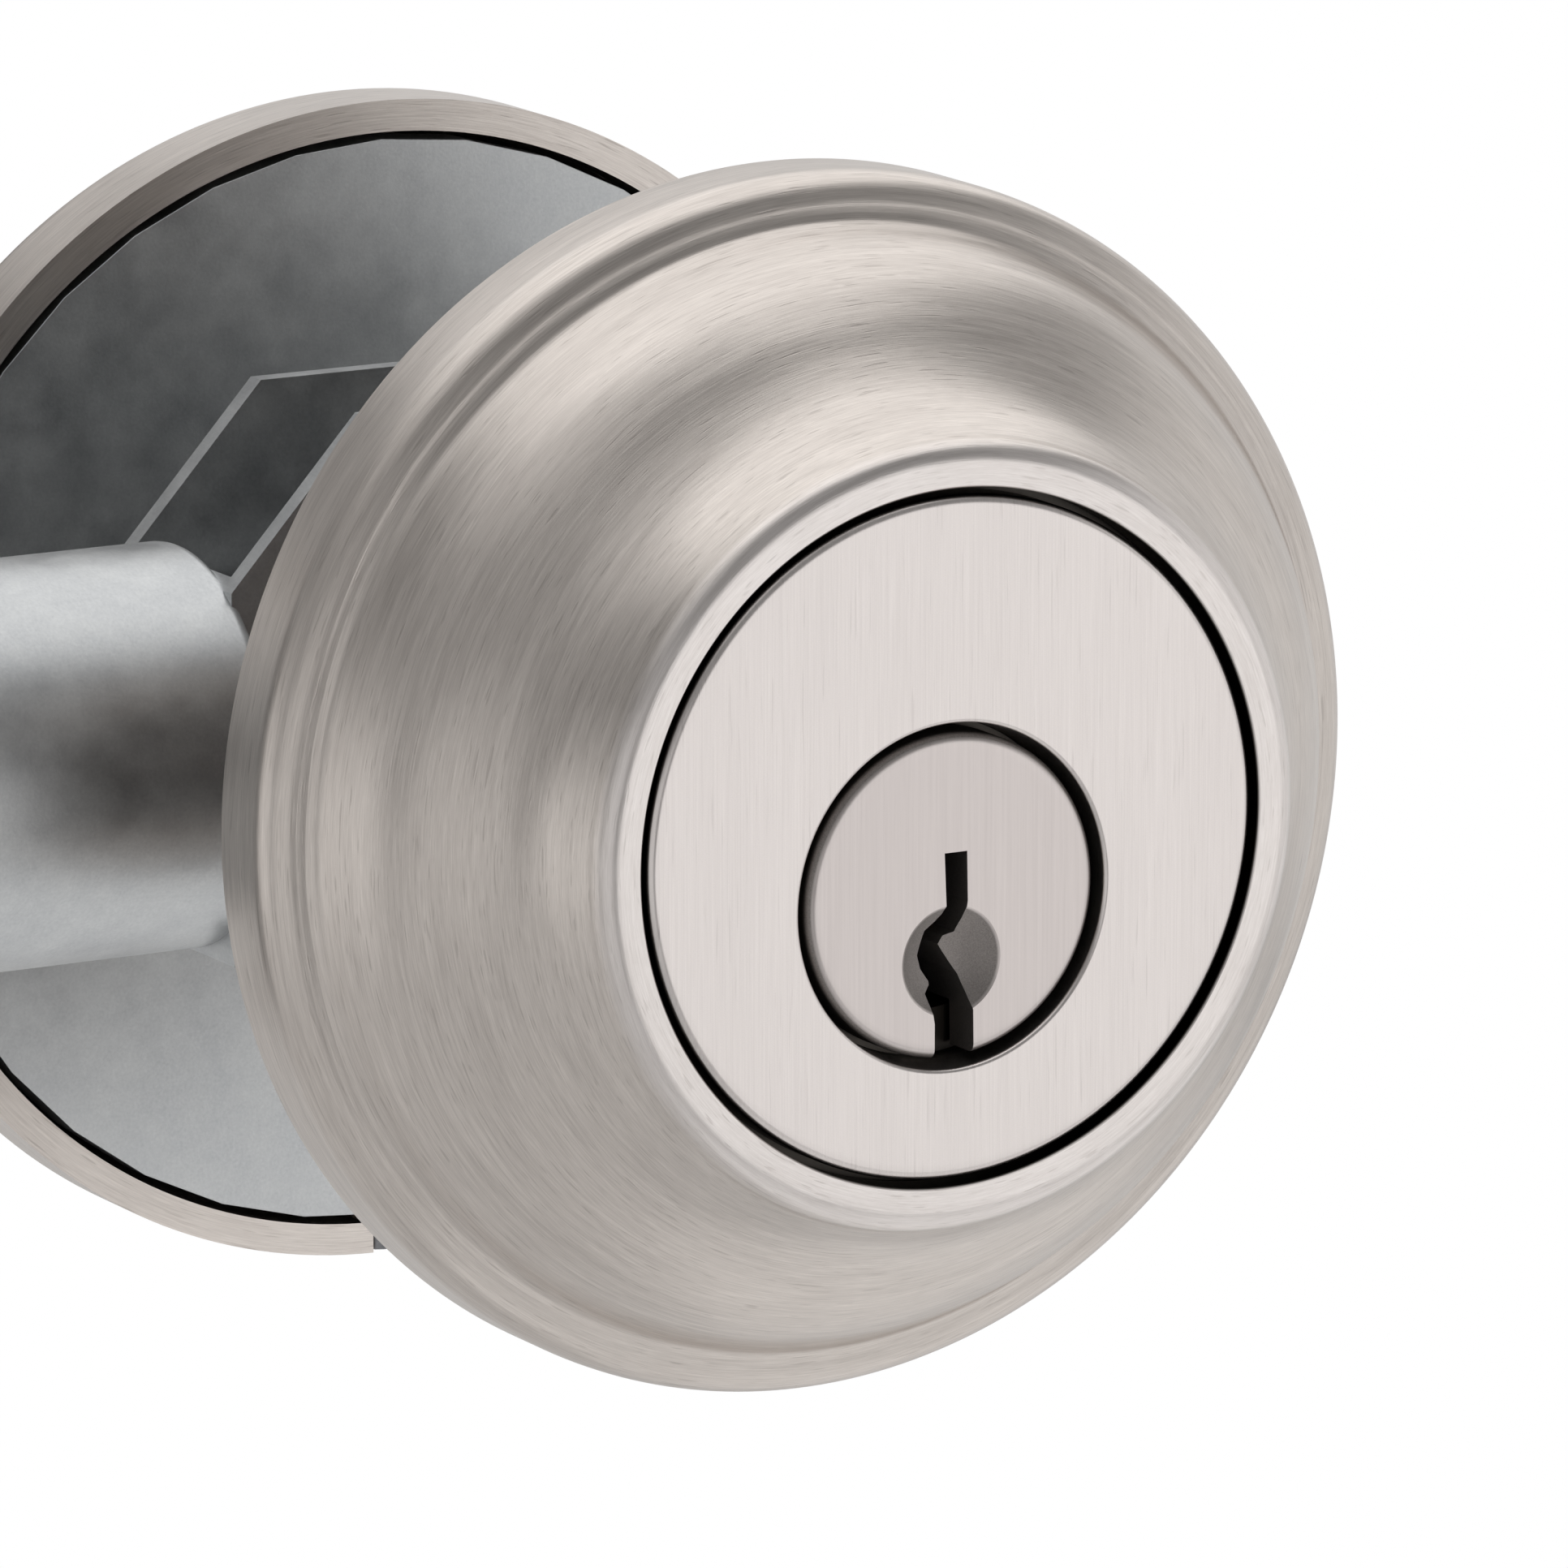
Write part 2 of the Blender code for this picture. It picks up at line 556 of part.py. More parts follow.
def edge_screw(index, side, finish):
    """A countersunk wood screw, its head flush with the faceplate."""
    head = -BACKSET + GAP / 3
    neck = head + EDGE_SCREW_HEAD - EDGE_SCREW_RADIUS
    end = head + EDGE_SCREW_LENGTH
    outline = [(0, head), (EDGE_SCREW_HEAD - GAP, head), (EDGE_SCREW_RADIUS - GAP / 2, neck)]
    outline += [(EDGE_SCREW_RADIUS - GAP / 2, end - 4 * MM), (0.3 * MM, end), (0, end)]
    bm = moved(turned(outline, 16, closed=False), edge_screw_place(side))
    screw = mesh_object(f"faceplate_screw_{index}", along_x(bm), finish)
    for angle in (0, QUARTER_TURN):
        blade = prism(rectangle(0.9 * MM, -2.2 * MM, 2.2 * MM), head - OVER, head + 1.1 * MM)
        blade = moved(blade, edge_screw_place(side), Matrix.Rotation(angle, 4, "Y"))
        cut(screw, along_x(blade))
    return screw


def case_side():
    """The outline of the case's two side plates, rounded off to clear the door's bore."""
    front = TUBE_END_X + 0.5 * TUBE_BACK
    shoulder = FORK_REST_X + CRANK_PIN_RADIUS + FORK_TINE
    bottom, waist = -TUBE_RADIUS, TUBE_RADIUS - 1.6 * MM
    outline = [(front, bottom), (CASE_REAR, bottom), (CASE_REAR, waist), (shoulder, CASE_TOP)]
    return outline + [(max(-shoulder, front + OVER), CASE_TOP), (front, waist)]


def tail_bar_slot(reach=0.0):
    """The rectangle, as (y offset from the latch's middle, z), that the bolt's tail bar passes through."""
    low = FORK_FRONT - LATCH_Y - reach
    high = low + FORK_THICKNESS + 2 * reach
    return low, high, TAIL_BAR_Z - reach, TAIL_BAR_Z + TAIL_BAR_HEIGHT + reach


def box(x0, x1, y0, y1, z0, z1):
    return prism([(x0, z0), (x1, z0), (x1, z1), (x0, z1)], y0, y1)


def latch_case(finish):
    """Tube behind the faceplate, closed at its back, with two side plates that carry the hub."""
    front = -BACKSET + FACEPLATE_THICKNESS + GAP
    back = TUBE_END_X + TUBE_BACK
    outline = [(0, TUBE_END_X), (TUBE_BORE, TUBE_END_X), (TUBE_BORE, front), (TUBE_RADIUS, front)]
    outline += [(TUBE_RADIUS, back), (0, back)]
    case = mesh_object("latch_case", along_x(turned(outline, 32, closed=False)), finish)
    outer = SIDE_INNER + SIDE_THICKNESS
    join(case, prism(case_side(), LATCH_Y - outer, LATCH_Y + outer))
    rear, top = CASE_REAR + OVER, CASE_TOP + OVER
    cut(case, box(back, rear, LATCH_Y - SIDE_INNER, LATCH_Y + SIDE_INNER, TUBE_WALL - TUBE_RADIUS, top))
    y0, y1, z0, z1 = tail_bar_slot(RUN)
    cut(case, box(TUBE_END_X - OVER, back + OVER, LATCH_Y + y0, LATCH_Y + y1, z0, z1))
    journal = rod(HUB_JOURNAL + GAP, LATCH_Y - outer - OVER, LATCH_Y + outer + OVER, 28)
    cut(case, moved(journal, (0, 0, AXIS_Z)))
    for side in (-1, 1):
        hole = rod(SCREW_RADIUS + 2 * GAP, LATCH_Y - outer - OVER, LATCH_Y + outer + OVER, 20)
        cut(case, moved(hole, (side * POST_SPACING / 2, 0, AXIS_Z)))
    return case


def bolt(finish):
    """The dead bolt at its retracted place, flush with the faceplate."""
    front, rear = -BACKSET, -BACKSET + BOLT_LENGTH
    bm = prism(stadium(BOLT_WIDTH, BOLT_HEIGHT), front, rear)
    nose = [edge for edge in bm.edges if all(v.co.y < front + GAP for v in edge.verts)]
    bmesh.ops.bevel(bm, geom=nose, offset=BOLT_CHAMFER, segments=2, profile=0.5, affect="EDGES")
    made = mesh_object("bolt", along_x(bm), finish)
    core = moved(rod(CORE_RADIUS + GAP, rear - CORE_LENGTH - GAP, rear + OVER, 24), (0, 0, -CORE_DROP))
    cut(made, along_x(core))
    y0, y1, z0, z1 = tail_bar_slot(GAP)
    cut(made, box(rear - TAIL_BAR_GRIP - GAP, rear + OVER, LATCH_Y + y0, LATCH_Y + y1, z0, z1))
    cross = rod(TAIL_PIN_RADIUS + GAP, LATCH_Y - BOLT_WIDTH, LATCH_Y + BOLT_WIDTH, 14)
    cut(made, moved(cross, tail_pin_place()))
    return made


def tail_pin_place():
    return (-BACKSET + BOLT_LENGTH - TAIL_BAR_GRIP / 2, 0, TAIL_BAR_Z + TAIL_BAR_HEIGHT / 2)


def bolt_core(finish):
    rear = -BACKSET + BOLT_LENGTH
    bm = moved(rod(CORE_RADIUS, rear - CORE_LENGTH, rear - GAP, 24), (0, 0, -CORE_DROP))
    return mesh_object("bolt_core", along_x(bm), finish)


def bolt_tail(finish):
    """The bar behind the bolt, with the fork that stands on its end and takes the crank pin."""
    drift = 0.6 * MM  # how far the pin strays from the fork's middle in a quarter turn
    slot = CRANK_PIN_RADIUS + drift + GAP
    start = -BACKSET + BOLT_LENGTH - TAIL_BAR_GRIP
    top = AXIS_Z + CRANK_RADIUS + CRANK_PIN_RADIUS + 2 * GAP
    low, high = TAIL_BAR_Z, TAIL_BAR_Z + TAIL_BAR_HEIGHT
    left, right = FORK_REST_X - slot - FORK_TINE, FORK_REST_X + slot + FORK_TINE
    slot_left, slot_right = FORK_REST_X - slot, FORK_REST_X + slot
    outline = [(start, low), (right, low), (right, top), (slot_right, top), (slot_right, high)]
    outline += [(slot_left, high), (slot_left, top), (left, top), (left, high), (start, high)]
    tail = mesh_object("bolt_tail", prism(outline, FORK_FRONT, FORK_FRONT + FORK_THICKNESS), finish)
    cross = rod(TAIL_PIN_RADIUS + GAP, FORK_FRONT - OVER, FORK_FRONT + FORK_THICKNESS + OVER, 14)
    cut(tail, moved(cross, tail_pin_place()))
    return tail


def bolt_tail_pin(finish):
    rise = tail_pin_place()[2] - (BOLT_HEIGHT - BOLT_WIDTH) / 2
    half = math.sqrt((BOLT_WIDTH / 2) ** 2 - (rise + TAIL_PIN_RADIUS) ** 2)
    bm = moved(rod(TAIL_PIN_RADIUS, LATCH_Y - half, LATCH_Y + half, 14), tail_pin_place())
    return mesh_object("bolt_tail_pin", bm, finish)


def hub(finish):
    """Journals in the case's sides, a square for the crank, and a slot for the tailpiece's blade."""
    front, rear = LATCH_Y - HUB_REACH, LATCH_Y + HUB_REACH
    body = CRANK_FRONT + CRANK_THICKNESS + GAP
    stop = LATCH_Y + SIDE_INNER - GAP
    core = 0.8 * HUB_SQUARE
    outline = [(0, rear), (HUB_JOURNAL, rear), (HUB_JOURNAL, stop), (HUB_BODY, stop), (HUB_BODY, body)]
    outline += [(core, body), (core, CRANK_FRONT - GAP), (0, CRANK_FRONT - GAP)]
    made = mesh_object("hub", turned(outline, 28, closed=False), finish, (0, 0, AXIS_Z))
    square = rectangle(2 * HUB_SQUARE, -HUB_SQUARE, HUB_SQUARE)
    join(made, prism(square, CRANK_FRONT - 2 * GAP, body + OVER))
    join(made, rod(HUB_JOURNAL, front, CRANK_FRONT - GAP, 28))
    width, thickness = BLADE_SLOT
    slot = rectangle(thickness, -width / 2, width / 2)
    cut(made, prism(slot, front - OVER, rear + OVER))
    return made


def crank_pin_place():
    """Where the crank pin is, from the hub's axis, with the bolt retracted."""
    return CRANK_RADIUS * math.sin(QUARTER_TURN / 2), CRANK_RADIUS * math.cos(QUARTER_TURN / 2)


def crank_arm(finish):
    """A plate from the hub's square to the crank pin: two round ends and straight sides."""
    lean = math.degrees(math.asin((CRANK_BOSS - CRANK_END) / CRANK_RADIUS))
    outline = arc((0, 0), CRANK_BOSS, 180 - lean, 360 + lean, 16)
    outline += arc((0, CRANK_RADIUS), CRANK_END, lean, 180 - lean, 10)
    low, high = CRANK_FRONT, CRANK_FRONT + CRANK_THICKNESS
    tilt = Matrix.Rotation(QUARTER_TURN / 2, 4, "Y")
    arm = mesh_object("crank_arm", moved(prism(outline, low, high), turn=tilt), finish, (0, 0, AXIS_Z))
    half = HUB_SQUARE + GAP
    cut(arm, prism(rectangle(2 * half, -half, half), low - OVER, high + OVER))
    x, z = crank_pin_place()
    cut(arm, moved(rod(CRANK_PIN_RADIUS + GAP, low - OVER, high + OVER, 16), (x, 0, z)))
    return arm


def crank_pin(finish):
    x, z = crank_pin_place()
    bm = moved(rod(CRANK_PIN_RADIUS, CRANK_FRONT, FORK_FRONT + FORK_THICKNESS, 16), (x, 0, z))
    return mesh_object("crank_pin", bm, finish, (0, 0, AXIS_Z))


def mounting_plate(finish):
    """The plate that the two long screws pull against the inside of the door."""
    low, high = DOOR_THICKNESS, DOOR_THICKNESS + PLATE_THICKNESS
    outline = [(PLATE_RADIUS, low), (PLATE_RADIUS, high), (PLATE_HOLE, high), (PLATE_HOLE, low)]
    plate = mesh_object("mounting_plate", turned(outline, 36), finish, (0, 0, AXIS_Z))
    for side in (-1, 1):
        hole = rod(SCREW_RADIUS + GAP, low - OVER, high + OVER, 20)
        cut(plate, moved(hole, (side * POST_SPACING / 2, 0, 0)))
    depth = ROSE_RADIUS - SET_SCREW_LENGTH - 2 * GAP
    notch = rectangle(2 * SET_SCREW_RADIUS + 3 * GAP, -PLATE_RADIUS - OVER, -depth)
    cut(plate, prism(notch, low - OVER, high + OVER))
    return plate


def mounting_screw(index, side, finish):
    """A long machine screw, from the mounting plate into the cylinder's post."""
    under = DOOR_THICKNESS + PLATE_THICKNESS + GAP
    top = under + SCREW_HEAD_HEIGHT
    tip = POST_END - SCREW_GRIP
    point, head_side = 0.5 * MM, under + SCREW_HEAD_HEIGHT / 2
    outline = [(0, tip), (SCREW_RADIUS - point, tip), (SCREW_RADIUS, tip + point), (SCREW_RADIUS, under)]
    outline += [(SCREW_HEAD_RADIUS, under), (SCREW_HEAD_RADIUS, head_side)]
    outline += [(0.6 * SCREW_HEAD_RADIUS, top), (0, top)]
    place = (side * POST_SPACING / 2, 0, AXIS_Z)
    screw = mesh_object(f"mounting_screw_{index}", turned(outline, 20, closed=False), finish, place)
    for angle in (0, QUARTER_TURN):
        blade = prism(rectangle(1.0 * MM, -2.4 * MM, 2.4 * MM), top - 1.3 * MM, top + OVER)
        cut(screw, moved(blade, turn=Matrix.Rotation(angle, 4, "Y")))
    return screw


def interior_rose(finish):
    outline = rose_outline(INSIDE_ROSE_HEIGHT, INSIDE_LIP_WIDTH, INSIDE_HOLE, INSIDE_OGEE_WAVE)
    bm = turned([(r, DOOR_THICKNESS + h) for r, h in outline], 40)
    rose = mesh_object("rose_interior", bm, finish, (0, 0, AXIS_Z))
    hole = rod(SET_SCREW_RADIUS + GAP, -ROSE_RADIUS - OVER, -ROSE_RADIUS + ROSE_WALL + OVER, 14)
    cut(rose, moved(hole, (0, DOOR_THICKNESS + PLATE_THICKNESS / 2, 0), TO_Z))
    return rose


def rose_set_screw(finish):
    low = -ROSE_RADIUS + GAP / 3
    middle = (0, DOOR_THICKNESS + PLATE_THICKNESS / 2, 0)
    bm = moved(rod(SET_SCREW_RADIUS, low, low + SET_SCREW_LENGTH, 14), middle, TO_Z)
    screw = mesh_object("rose_set_screw", bm, finish, (0, 0, AXIS_Z))
    socket = arc((0, 0), SET_SCREW_SOCKET, 0, 300, 5)
    cut(screw, moved(prism(socket, low - OVER, low + SET_SCREW_LENGTH / 3), middle, TO_Z))
    return screw


def ring_low():
    """The side of the shaft's retaining ring that faces the door."""
    lip_inner = INSIDE_LIP_Y - LIP_THICKNESS
    return lip_inner - 2 * GAP - WASHER_THICKNESS - 2 * WASHER_WAVE - RING_THICKNESS


def thumbturn(finish):
    """Shaft through the interior rose, collar, neck and an oval paddle, upright with the bolt retracted."""
    start = DOOR_THICKNESS + PLATE_THICKNESS + SCREW_HEAD_HEIGHT
    collar = INSIDE_LIP_Y + RUN
    neck = collar + COLLAR_THICKNESS
    end = neck + NECK_LENGTH
    groove = ring_low() - GAP, ring_low() + RING_THICKNESS + GAP
    waist = SHAFT_RADIUS - 2 * GAP
    outline = [(0, start), (SHAFT_RADIUS, start), (SHAFT_RADIUS, groove[0]), (waist, groove[0])]
    outline += [(waist, groove[1]), (SHAFT_RADIUS, groove[1]), (SHAFT_RADIUS, collar)]
    outline += [(COLLAR_RADIUS, collar), (COLLAR_RADIUS, collar + COLLAR_THICKNESS / 2)]
    outline += [(NECK_RADIUS + GAP, neck), (NECK_RADIUS, end), (0, end)]
    turn = mesh_object("thumbturn", turned(outline, 24, closed=False), finish, (0, 0, AXIS_Z))
    paddle = bmesh.new()
    bmesh.ops.create_uvsphere(paddle, u_segments=20, v_segments=10, radius=1)
    half = Vector((PADDLE_WIDTH, PADDLE_DEPTH, PADDLE_LENGTH)) / 2
    paddle.transform(Matrix.Diagonal((*half, 1)))
    join(turn, moved(paddle, (0, end + PADDLE_DEPTH / 2 - 3 * MM, 0)))
    width, thickness = BLADE_SLOT
    slot = rectangle(thickness, -width / 2, width / 2)
    cut(turn, prism(slot, start - OVER, BLADE_END + 2 * GAP))
    return turn


def shaft_ring(finish):
    inner = SHAFT_RADIUS - GAP
    bm = open_ring(inner, inner + RING_WIDTH, ring_low(), ring_low() + RING_THICKNESS)
    return mesh_object("shaft_retaining_ring", bm, finish, (0, 0, AXIS_Z))


def wave_washer(finish):
    """A thin ring that ripples three times round, between the retaining ring and the rose."""
    middle = ring_low() + RING_THICKNESS + GAP + WASHER_WAVE + WASHER_THICKNESS / 2
    inner, outer = SHAFT_RADIUS + RUN, SHAFT_RADIUS + RUN + 2 * MM
    low, high = middle - WASHER_THICKNESS / 2, middle + WASHER_THICKNESS / 2
    bm = turned([(outer, low), (outer, high), (inner, high), (inner, low)], 24)
    for vert in bm.verts:
        vert.co.y += WASHER_WAVE * math.sin(3 * math.atan2(vert.co.z, vert.co.x))
    return mesh_object("wave_washer", bm, finish, (0, 0, AXIS_Z))


def pivot(name, at, children):
    """An empty on a moving body's axis, which carries the body's pieces."""
    empty = bpy.data.objects.new(name, None)
    empty.location = at
    empty.empty_display_size = 10 * MM
    bpy.context.scene.collection.objects.link(empty)
    for child in children:
        child.parent = empty
        child.location = child.location - empty.location
        for modifier in child.modifiers:
            tool = modifier.object
            tool.parent = empty
            tool.location = tool.location - empty.location


def build():
    nickel = material("satin_nickel", (0.62, 0.59, 0.56), 0.32)
    face_nickel = material("brushed_face_nickel", (0.72, 0.69, 0.66), 0.30)
    brass = material("pin_brass", (0.72, 0.55, 0.30), 0.35)
    spring_steel = material("spring_steel", (0.45, 0.45, 0.46), 0.30)
    zinc = material("zinc_plated_steel", (0.60, 0.61, 0.62), 0.42)
    hardened = material("hardened_steel", (0.32, 0.32, 0.33), 0.38)

    exterior_rose(nickel)
    cylinder_housing(face_nickel)
    pin_cover(brass)
    key_pins = [pin_stack(i, y, brass, spring_steel) for i, y in enumerate(pin_places())]
    axis = Vector((0, 0, AXIS_Z))
    plug_pieces = [plug(face_nickel), plug_clip(spring_steel), tailpiece_cap(zinc), *key_pins]
    pivot("plug_axis", axis, plug_pieces)
    pivot("tailpiece_axis", axis, [tailpiece(zinc)])

    faceplate(nickel)
    backplate(zinc)
    latch_case(zinc)
    for index, side in ((1, 1), (2, -1)):
        edge_screw(index, side, nickel)
        mounting_screw(index, side, zinc)
    hub_axis = Vector((0, LATCH_Y, AXIS_Z))
    pivot("hub_axis", hub_axis, [hub(zinc), crank_arm(zinc), crank_pin(hardened)])
    bolt_rear = Vector((-BACKSET + BOLT_LENGTH, LATCH_Y, 0))
    bolt_pieces = [bolt(nickel), bolt_core(hardened), bolt_tail(zinc), bolt_tail_pin(spring_steel)]
    pivot("bolt_slide", bolt_rear, bolt_pieces)

    mounting_plate(zinc)
    interior_rose(nickel)
    rose_set_screw(hardened)
    turn_axis = Vector((0, INSIDE_LIP_Y, AXIS_Z))
    turn_pieces = [thumbturn(nickel), shaft_ring(spring_steel), wave_washer(spring_steel)]
    pivot("thumbturn_axis", turn_axis, turn_pieces)


for old in list(bpy.data.objects):
    bpy.data.objects.remove(old)
build()
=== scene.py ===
import math

import bmesh
import bpy
from mathutils import Matrix, Vector


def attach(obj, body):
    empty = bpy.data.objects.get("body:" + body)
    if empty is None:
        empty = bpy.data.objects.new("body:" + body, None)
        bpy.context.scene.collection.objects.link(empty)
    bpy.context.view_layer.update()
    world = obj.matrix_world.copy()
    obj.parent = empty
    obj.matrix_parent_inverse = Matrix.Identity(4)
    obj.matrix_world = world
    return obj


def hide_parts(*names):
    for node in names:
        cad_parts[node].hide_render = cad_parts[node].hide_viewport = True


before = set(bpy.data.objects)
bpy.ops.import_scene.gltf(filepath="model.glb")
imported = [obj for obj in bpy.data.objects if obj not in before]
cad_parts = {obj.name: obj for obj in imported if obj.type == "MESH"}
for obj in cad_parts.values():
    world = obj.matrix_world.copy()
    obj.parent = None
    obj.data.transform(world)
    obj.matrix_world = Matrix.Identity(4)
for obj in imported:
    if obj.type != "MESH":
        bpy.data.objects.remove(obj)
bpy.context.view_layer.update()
mm = 0.001
quarterTurn = math.pi / 2

# Sizes that several pieces share, in millimetres.
lock = {
    "axisZ": -3.1,
    "doorThickness": 44.45,
    "latchY": 22.225,
    "faceY": -19.2,
    "flangeY": -17.0,
    "plateScrewSpread": 20.65,
}


# Shader sockets that take part in sums, and the nodes of one material.
class Field:
    def __init__(self, paint, socket):
        self.paint = paint
        self.socket = socket

    def maths(self, operation, *others):
        return self.paint.node("Math", {"operation": operation}, self, *others)

    def __add__(self, other):
        return self.maths("ADD", other)

    __radd__ = __add__

    def __mul__(self, other):
        return self.maths("MULTIPLY", other)

    __rmul__ = __mul__

    def __sub__(self, other):
        return self.maths("SUBTRACT", other)

    def __rsub__(self, other):
        return self.paint.node("Math", {"operation": "SUBTRACT"}, other, self)

    def clipped(self, low, high):
        # Nought below low, one above high, and a straight slope between them.
        return self.paint.node("MapRange", {"clamp": True}, self, low, high, 0.0, 1.0)


class Paint:
    def __init__(self, name):
        self.material = bpy.data.materials.new(name)
        self.material.use_nodes = True
        self.tree = self.material.node_tree
        self.shader = self.tree.nodes["Principled BSDF"]

    def feed(self, socket, value):
        if isinstance(value, Field):
            self.tree.links.new(value.socket, socket)
        else:
            socket.default_value = value

    def node(self, kind, settings, *values, output=0, **named):
        made = self.tree.nodes.new("ShaderNode" + kind)
        for key, value in settings.items():
            setattr(made, key, value)
        for index, value in enumerate(values):
            self.feed(made.inputs[index], value)
        for key, value in named.items():
            self.feed(made.inputs[key], value)
        return Field(self, made.outputs[output])

    def noise(self, vector, scale, detail=2.0, roughness=0.5):
        sockets = {"Vector": vector, "Scale": scale, "Detail": detail, "Roughness": roughness}
        return self.node("TexNoise", {}, **sockets)

    def joined(self, x, y, z):
        return self.node("CombineXYZ", {}, x, y, z)

    def length(self, vector):
        return self.node("VectorMath", {"operation": "LENGTH"}, vector, output=1)

    def mixed(self, factor, first, second):
        # The Mix node's colour sockets come after those for numbers and vectors.
        made = self.tree.nodes.new("ShaderNodeMix")
        made.data_type = "RGBA"
        self.feed(made.inputs[0], factor)
        for index, colour in ((6, first), (7, second)):
            self.feed(made.inputs[index], colour if isinstance(colour, Field) else (*colour, 1.0))
        return Field(self, made.outputs[2])

    def bump(self, height, distance):
        return self.node("Bump", {}, Height=height, Distance=distance, Strength=1.0)

    def finish(self, colour, roughness, normal=None, metallic=1.0):
        self.feed(self.shader.inputs["Base Color"], colour)
        self.feed(self.shader.inputs["Roughness"], roughness)
        self.feed(self.shader.inputs["Metallic"], metallic)
        if normal is not None:
            self.feed(self.shader.inputs["Normal"], normal)
        return self.material


def parted(paint):
    # The object's own coordinates, in millimetres, and their three numbers.
    place = paint.node("TexCoord", {}, output=3)
    scaled = paint.node("VectorMath", {"operation": "SCALE"}, place, Scale=1 / mm)
    return [paint.node("SeparateXYZ", {}, scaled, output=index) for index in range(3)]


def roundAxis(paint, axisZ, side):
    # Round a line along Y: a direction of length one, the radius, the way along the section, and y.
    x, y, z = parted(paint)
    z = z - axisZ
    across = paint.joined(x, 0.0, z)
    direction = paint.node("VectorMath", {"operation": "NORMALIZE"}, across)
    radius = paint.length(across)
    cosine, sine = [paint.node("SeparateXYZ", {}, direction, output=index) for index in (0, 2)]
    return cosine, sine, radius, radius + side * y, y


# Painted shade: a near-black colour put on metal deep in narrow gaps, where shade falls.
shadow = (0.05, 0.045, 0.04)


def faceGapShade(paint, x, y, z, spec):
    # Where painted shade goes: one on the face's side and on the wall of the plug's hole, nought
    # elsewhere.
    radius = paint.length(paint.joined(x, 0.0, z))
    fromPlug = paint.length(paint.joined(x, 0.0, z - lock["axisZ"]))
    belowFace = y.clipped(*spec["holeDepth"]) * (1.0 - y.clipped(*spec["holeEnd"]))
    wall = (1.0 - fromPlug.clipped(*spec["hole"])) * belowFace
    return radius.clipped(*spec["rim"]).maths("MAXIMUM", wall)


# Kinds of mark: their length and width against the finish's own, and a shift that keeps them apart.
brushMarks = {
    "hair": {"long": 1.0, "wide": 1.0, "shift": 0.0, "detail": 3.0, "roughness": 0.6},
    "streak": {"long": 0.5, "wide": 0.22, "shift": 9.0, "detail": 3.0, "roughness": 0.55},
    "band": {"long": 0.35, "wide": 0.05, "shift": 21.0, "detail": 2.0, "roughness": 0.5},
    "scratch": {"long": 1.6, "wide": 0.5, "shift": 33.0, "detail": 1.0, "roughness": 0.4},
}


def brushed(name, spec):
    # Satin metal with fine marks: round the axis of a turned piece, or along Z on an upright one.
    paint = Paint(name)
    if spec["lay"] == "turned":
        cosine, sine, radius, along, y = roundAxis(paint, spec["axisZ"], spec["side"])

        def marks(run, fine, shift):
            return paint.joined(cosine * run + shift, along * fine, sine * run)

    else:
        x, y, z = parted(paint)

        def marks(run, fine, shift):
            return paint.joined(z * run + shift, x * fine, y * fine)

    def cut(look):
        place = marks(look["long"] * spec["run"], look["wide"] * spec["fine"], look["shift"])
        return paint.noise(place, 1.0, look["detail"], look["roughness"])

    hair, streak, band, scratch = [cut(look) for look in brushMarks.values()]
    scratch = scratch.clipped(*spec["scratchRange"])
    grain = paint.noise(marks(spec["grainRun"], spec["fine"], spec["grainShift"]), 1.0, 2.0, 0.6)
    shade = hair * spec["hairTone"] + streak * spec["streakTone"] + band * spec["bandTone"]
    shade = shade + grain * spec["grainTone"] - scratch * spec["scratchTone"]
    tone = shade.clipped(*spec["toneRange"])
    colour = paint.mixed(tone, spec["dark"], spec["light"])
    if spec.get("lip"):
        # Painted light: the flat lip gets a paler copy of the metal than the ogee. Painted shade on its
        # inside.
        pale = paint.mixed(tone, spec["lipDark"], spec["lipLight"])
        colour = paint.mixed((y * -1.0).clipped(*spec["lip"]), colour, pale)
        colour = paint.mixed(radius.clipped(*spec["gap"]), shadow, colour)
    if spec.get("rim"):
        # Painted shade on the face's side and on the wall of the plug's hole.
        colour = paint.mixed(faceGapShade(paint, x, y, z, spec), colour, shadow)
    rough = streak * spec["roughSpread"] + (spec["rough"] - 0.5 * spec["roughSpread"])
    height = hair + streak * spec["streakRelief"] - scratch * spec["scratchRelief"]
    if spec.get("stretch"):
        # The highlights stretch across the marks that run round the axis.
        paint.shader.inputs["Anisotropic"].default_value = spec["stretch"]
        tangent = paint.node("Tangent", {"direction_type": "RADIAL", "axis": "Y"})
        paint.feed(paint.shader.inputs["Tangent"], tangent)
    return paint.finish(colour, rough, paint.bump(height, spec["relief"] * mm))


# Satin nickel: how short and how fine its marks are, then what each kind adds to the tone and relief.
satin = {
    "lay": "turned",
    "axisZ": 0.0,
    "side": 1.0,
    "run": 8.0,
    "fine": 11.0,
    "grainRun": 24.2,
    "grainShift": 45.0,
    "scratchRange": (0.66, 0.74),
    "hairTone": 1.2,
    "streakTone": 0.8,
    "bandTone": 0.5,
    "grainTone": 0.6,
    "scratchTone": 0.5,
    "toneRange": (1.1, 2.0),
    "dark": (0.49, 0.447, 0.415),
    "light": (0.71, 0.655, 0.61),
    "rough": 0.34,
    "roughSpread": 0.1,
    "relief": 0.006,
    "streakRelief": 0.6,
    "scratchRelief": 0.5,
    "stretch": 0.5,
}
lipTones = {
    # Painted light on the flat lip in paler colours, and painted shade on its inside.
    "lip": (18.4, 19.1),
    "lipDark": (0.62, 0.575, 0.55),
    "lipLight": (0.80, 0.753, 0.728),
    "gap": (18.78, 18.84),
}
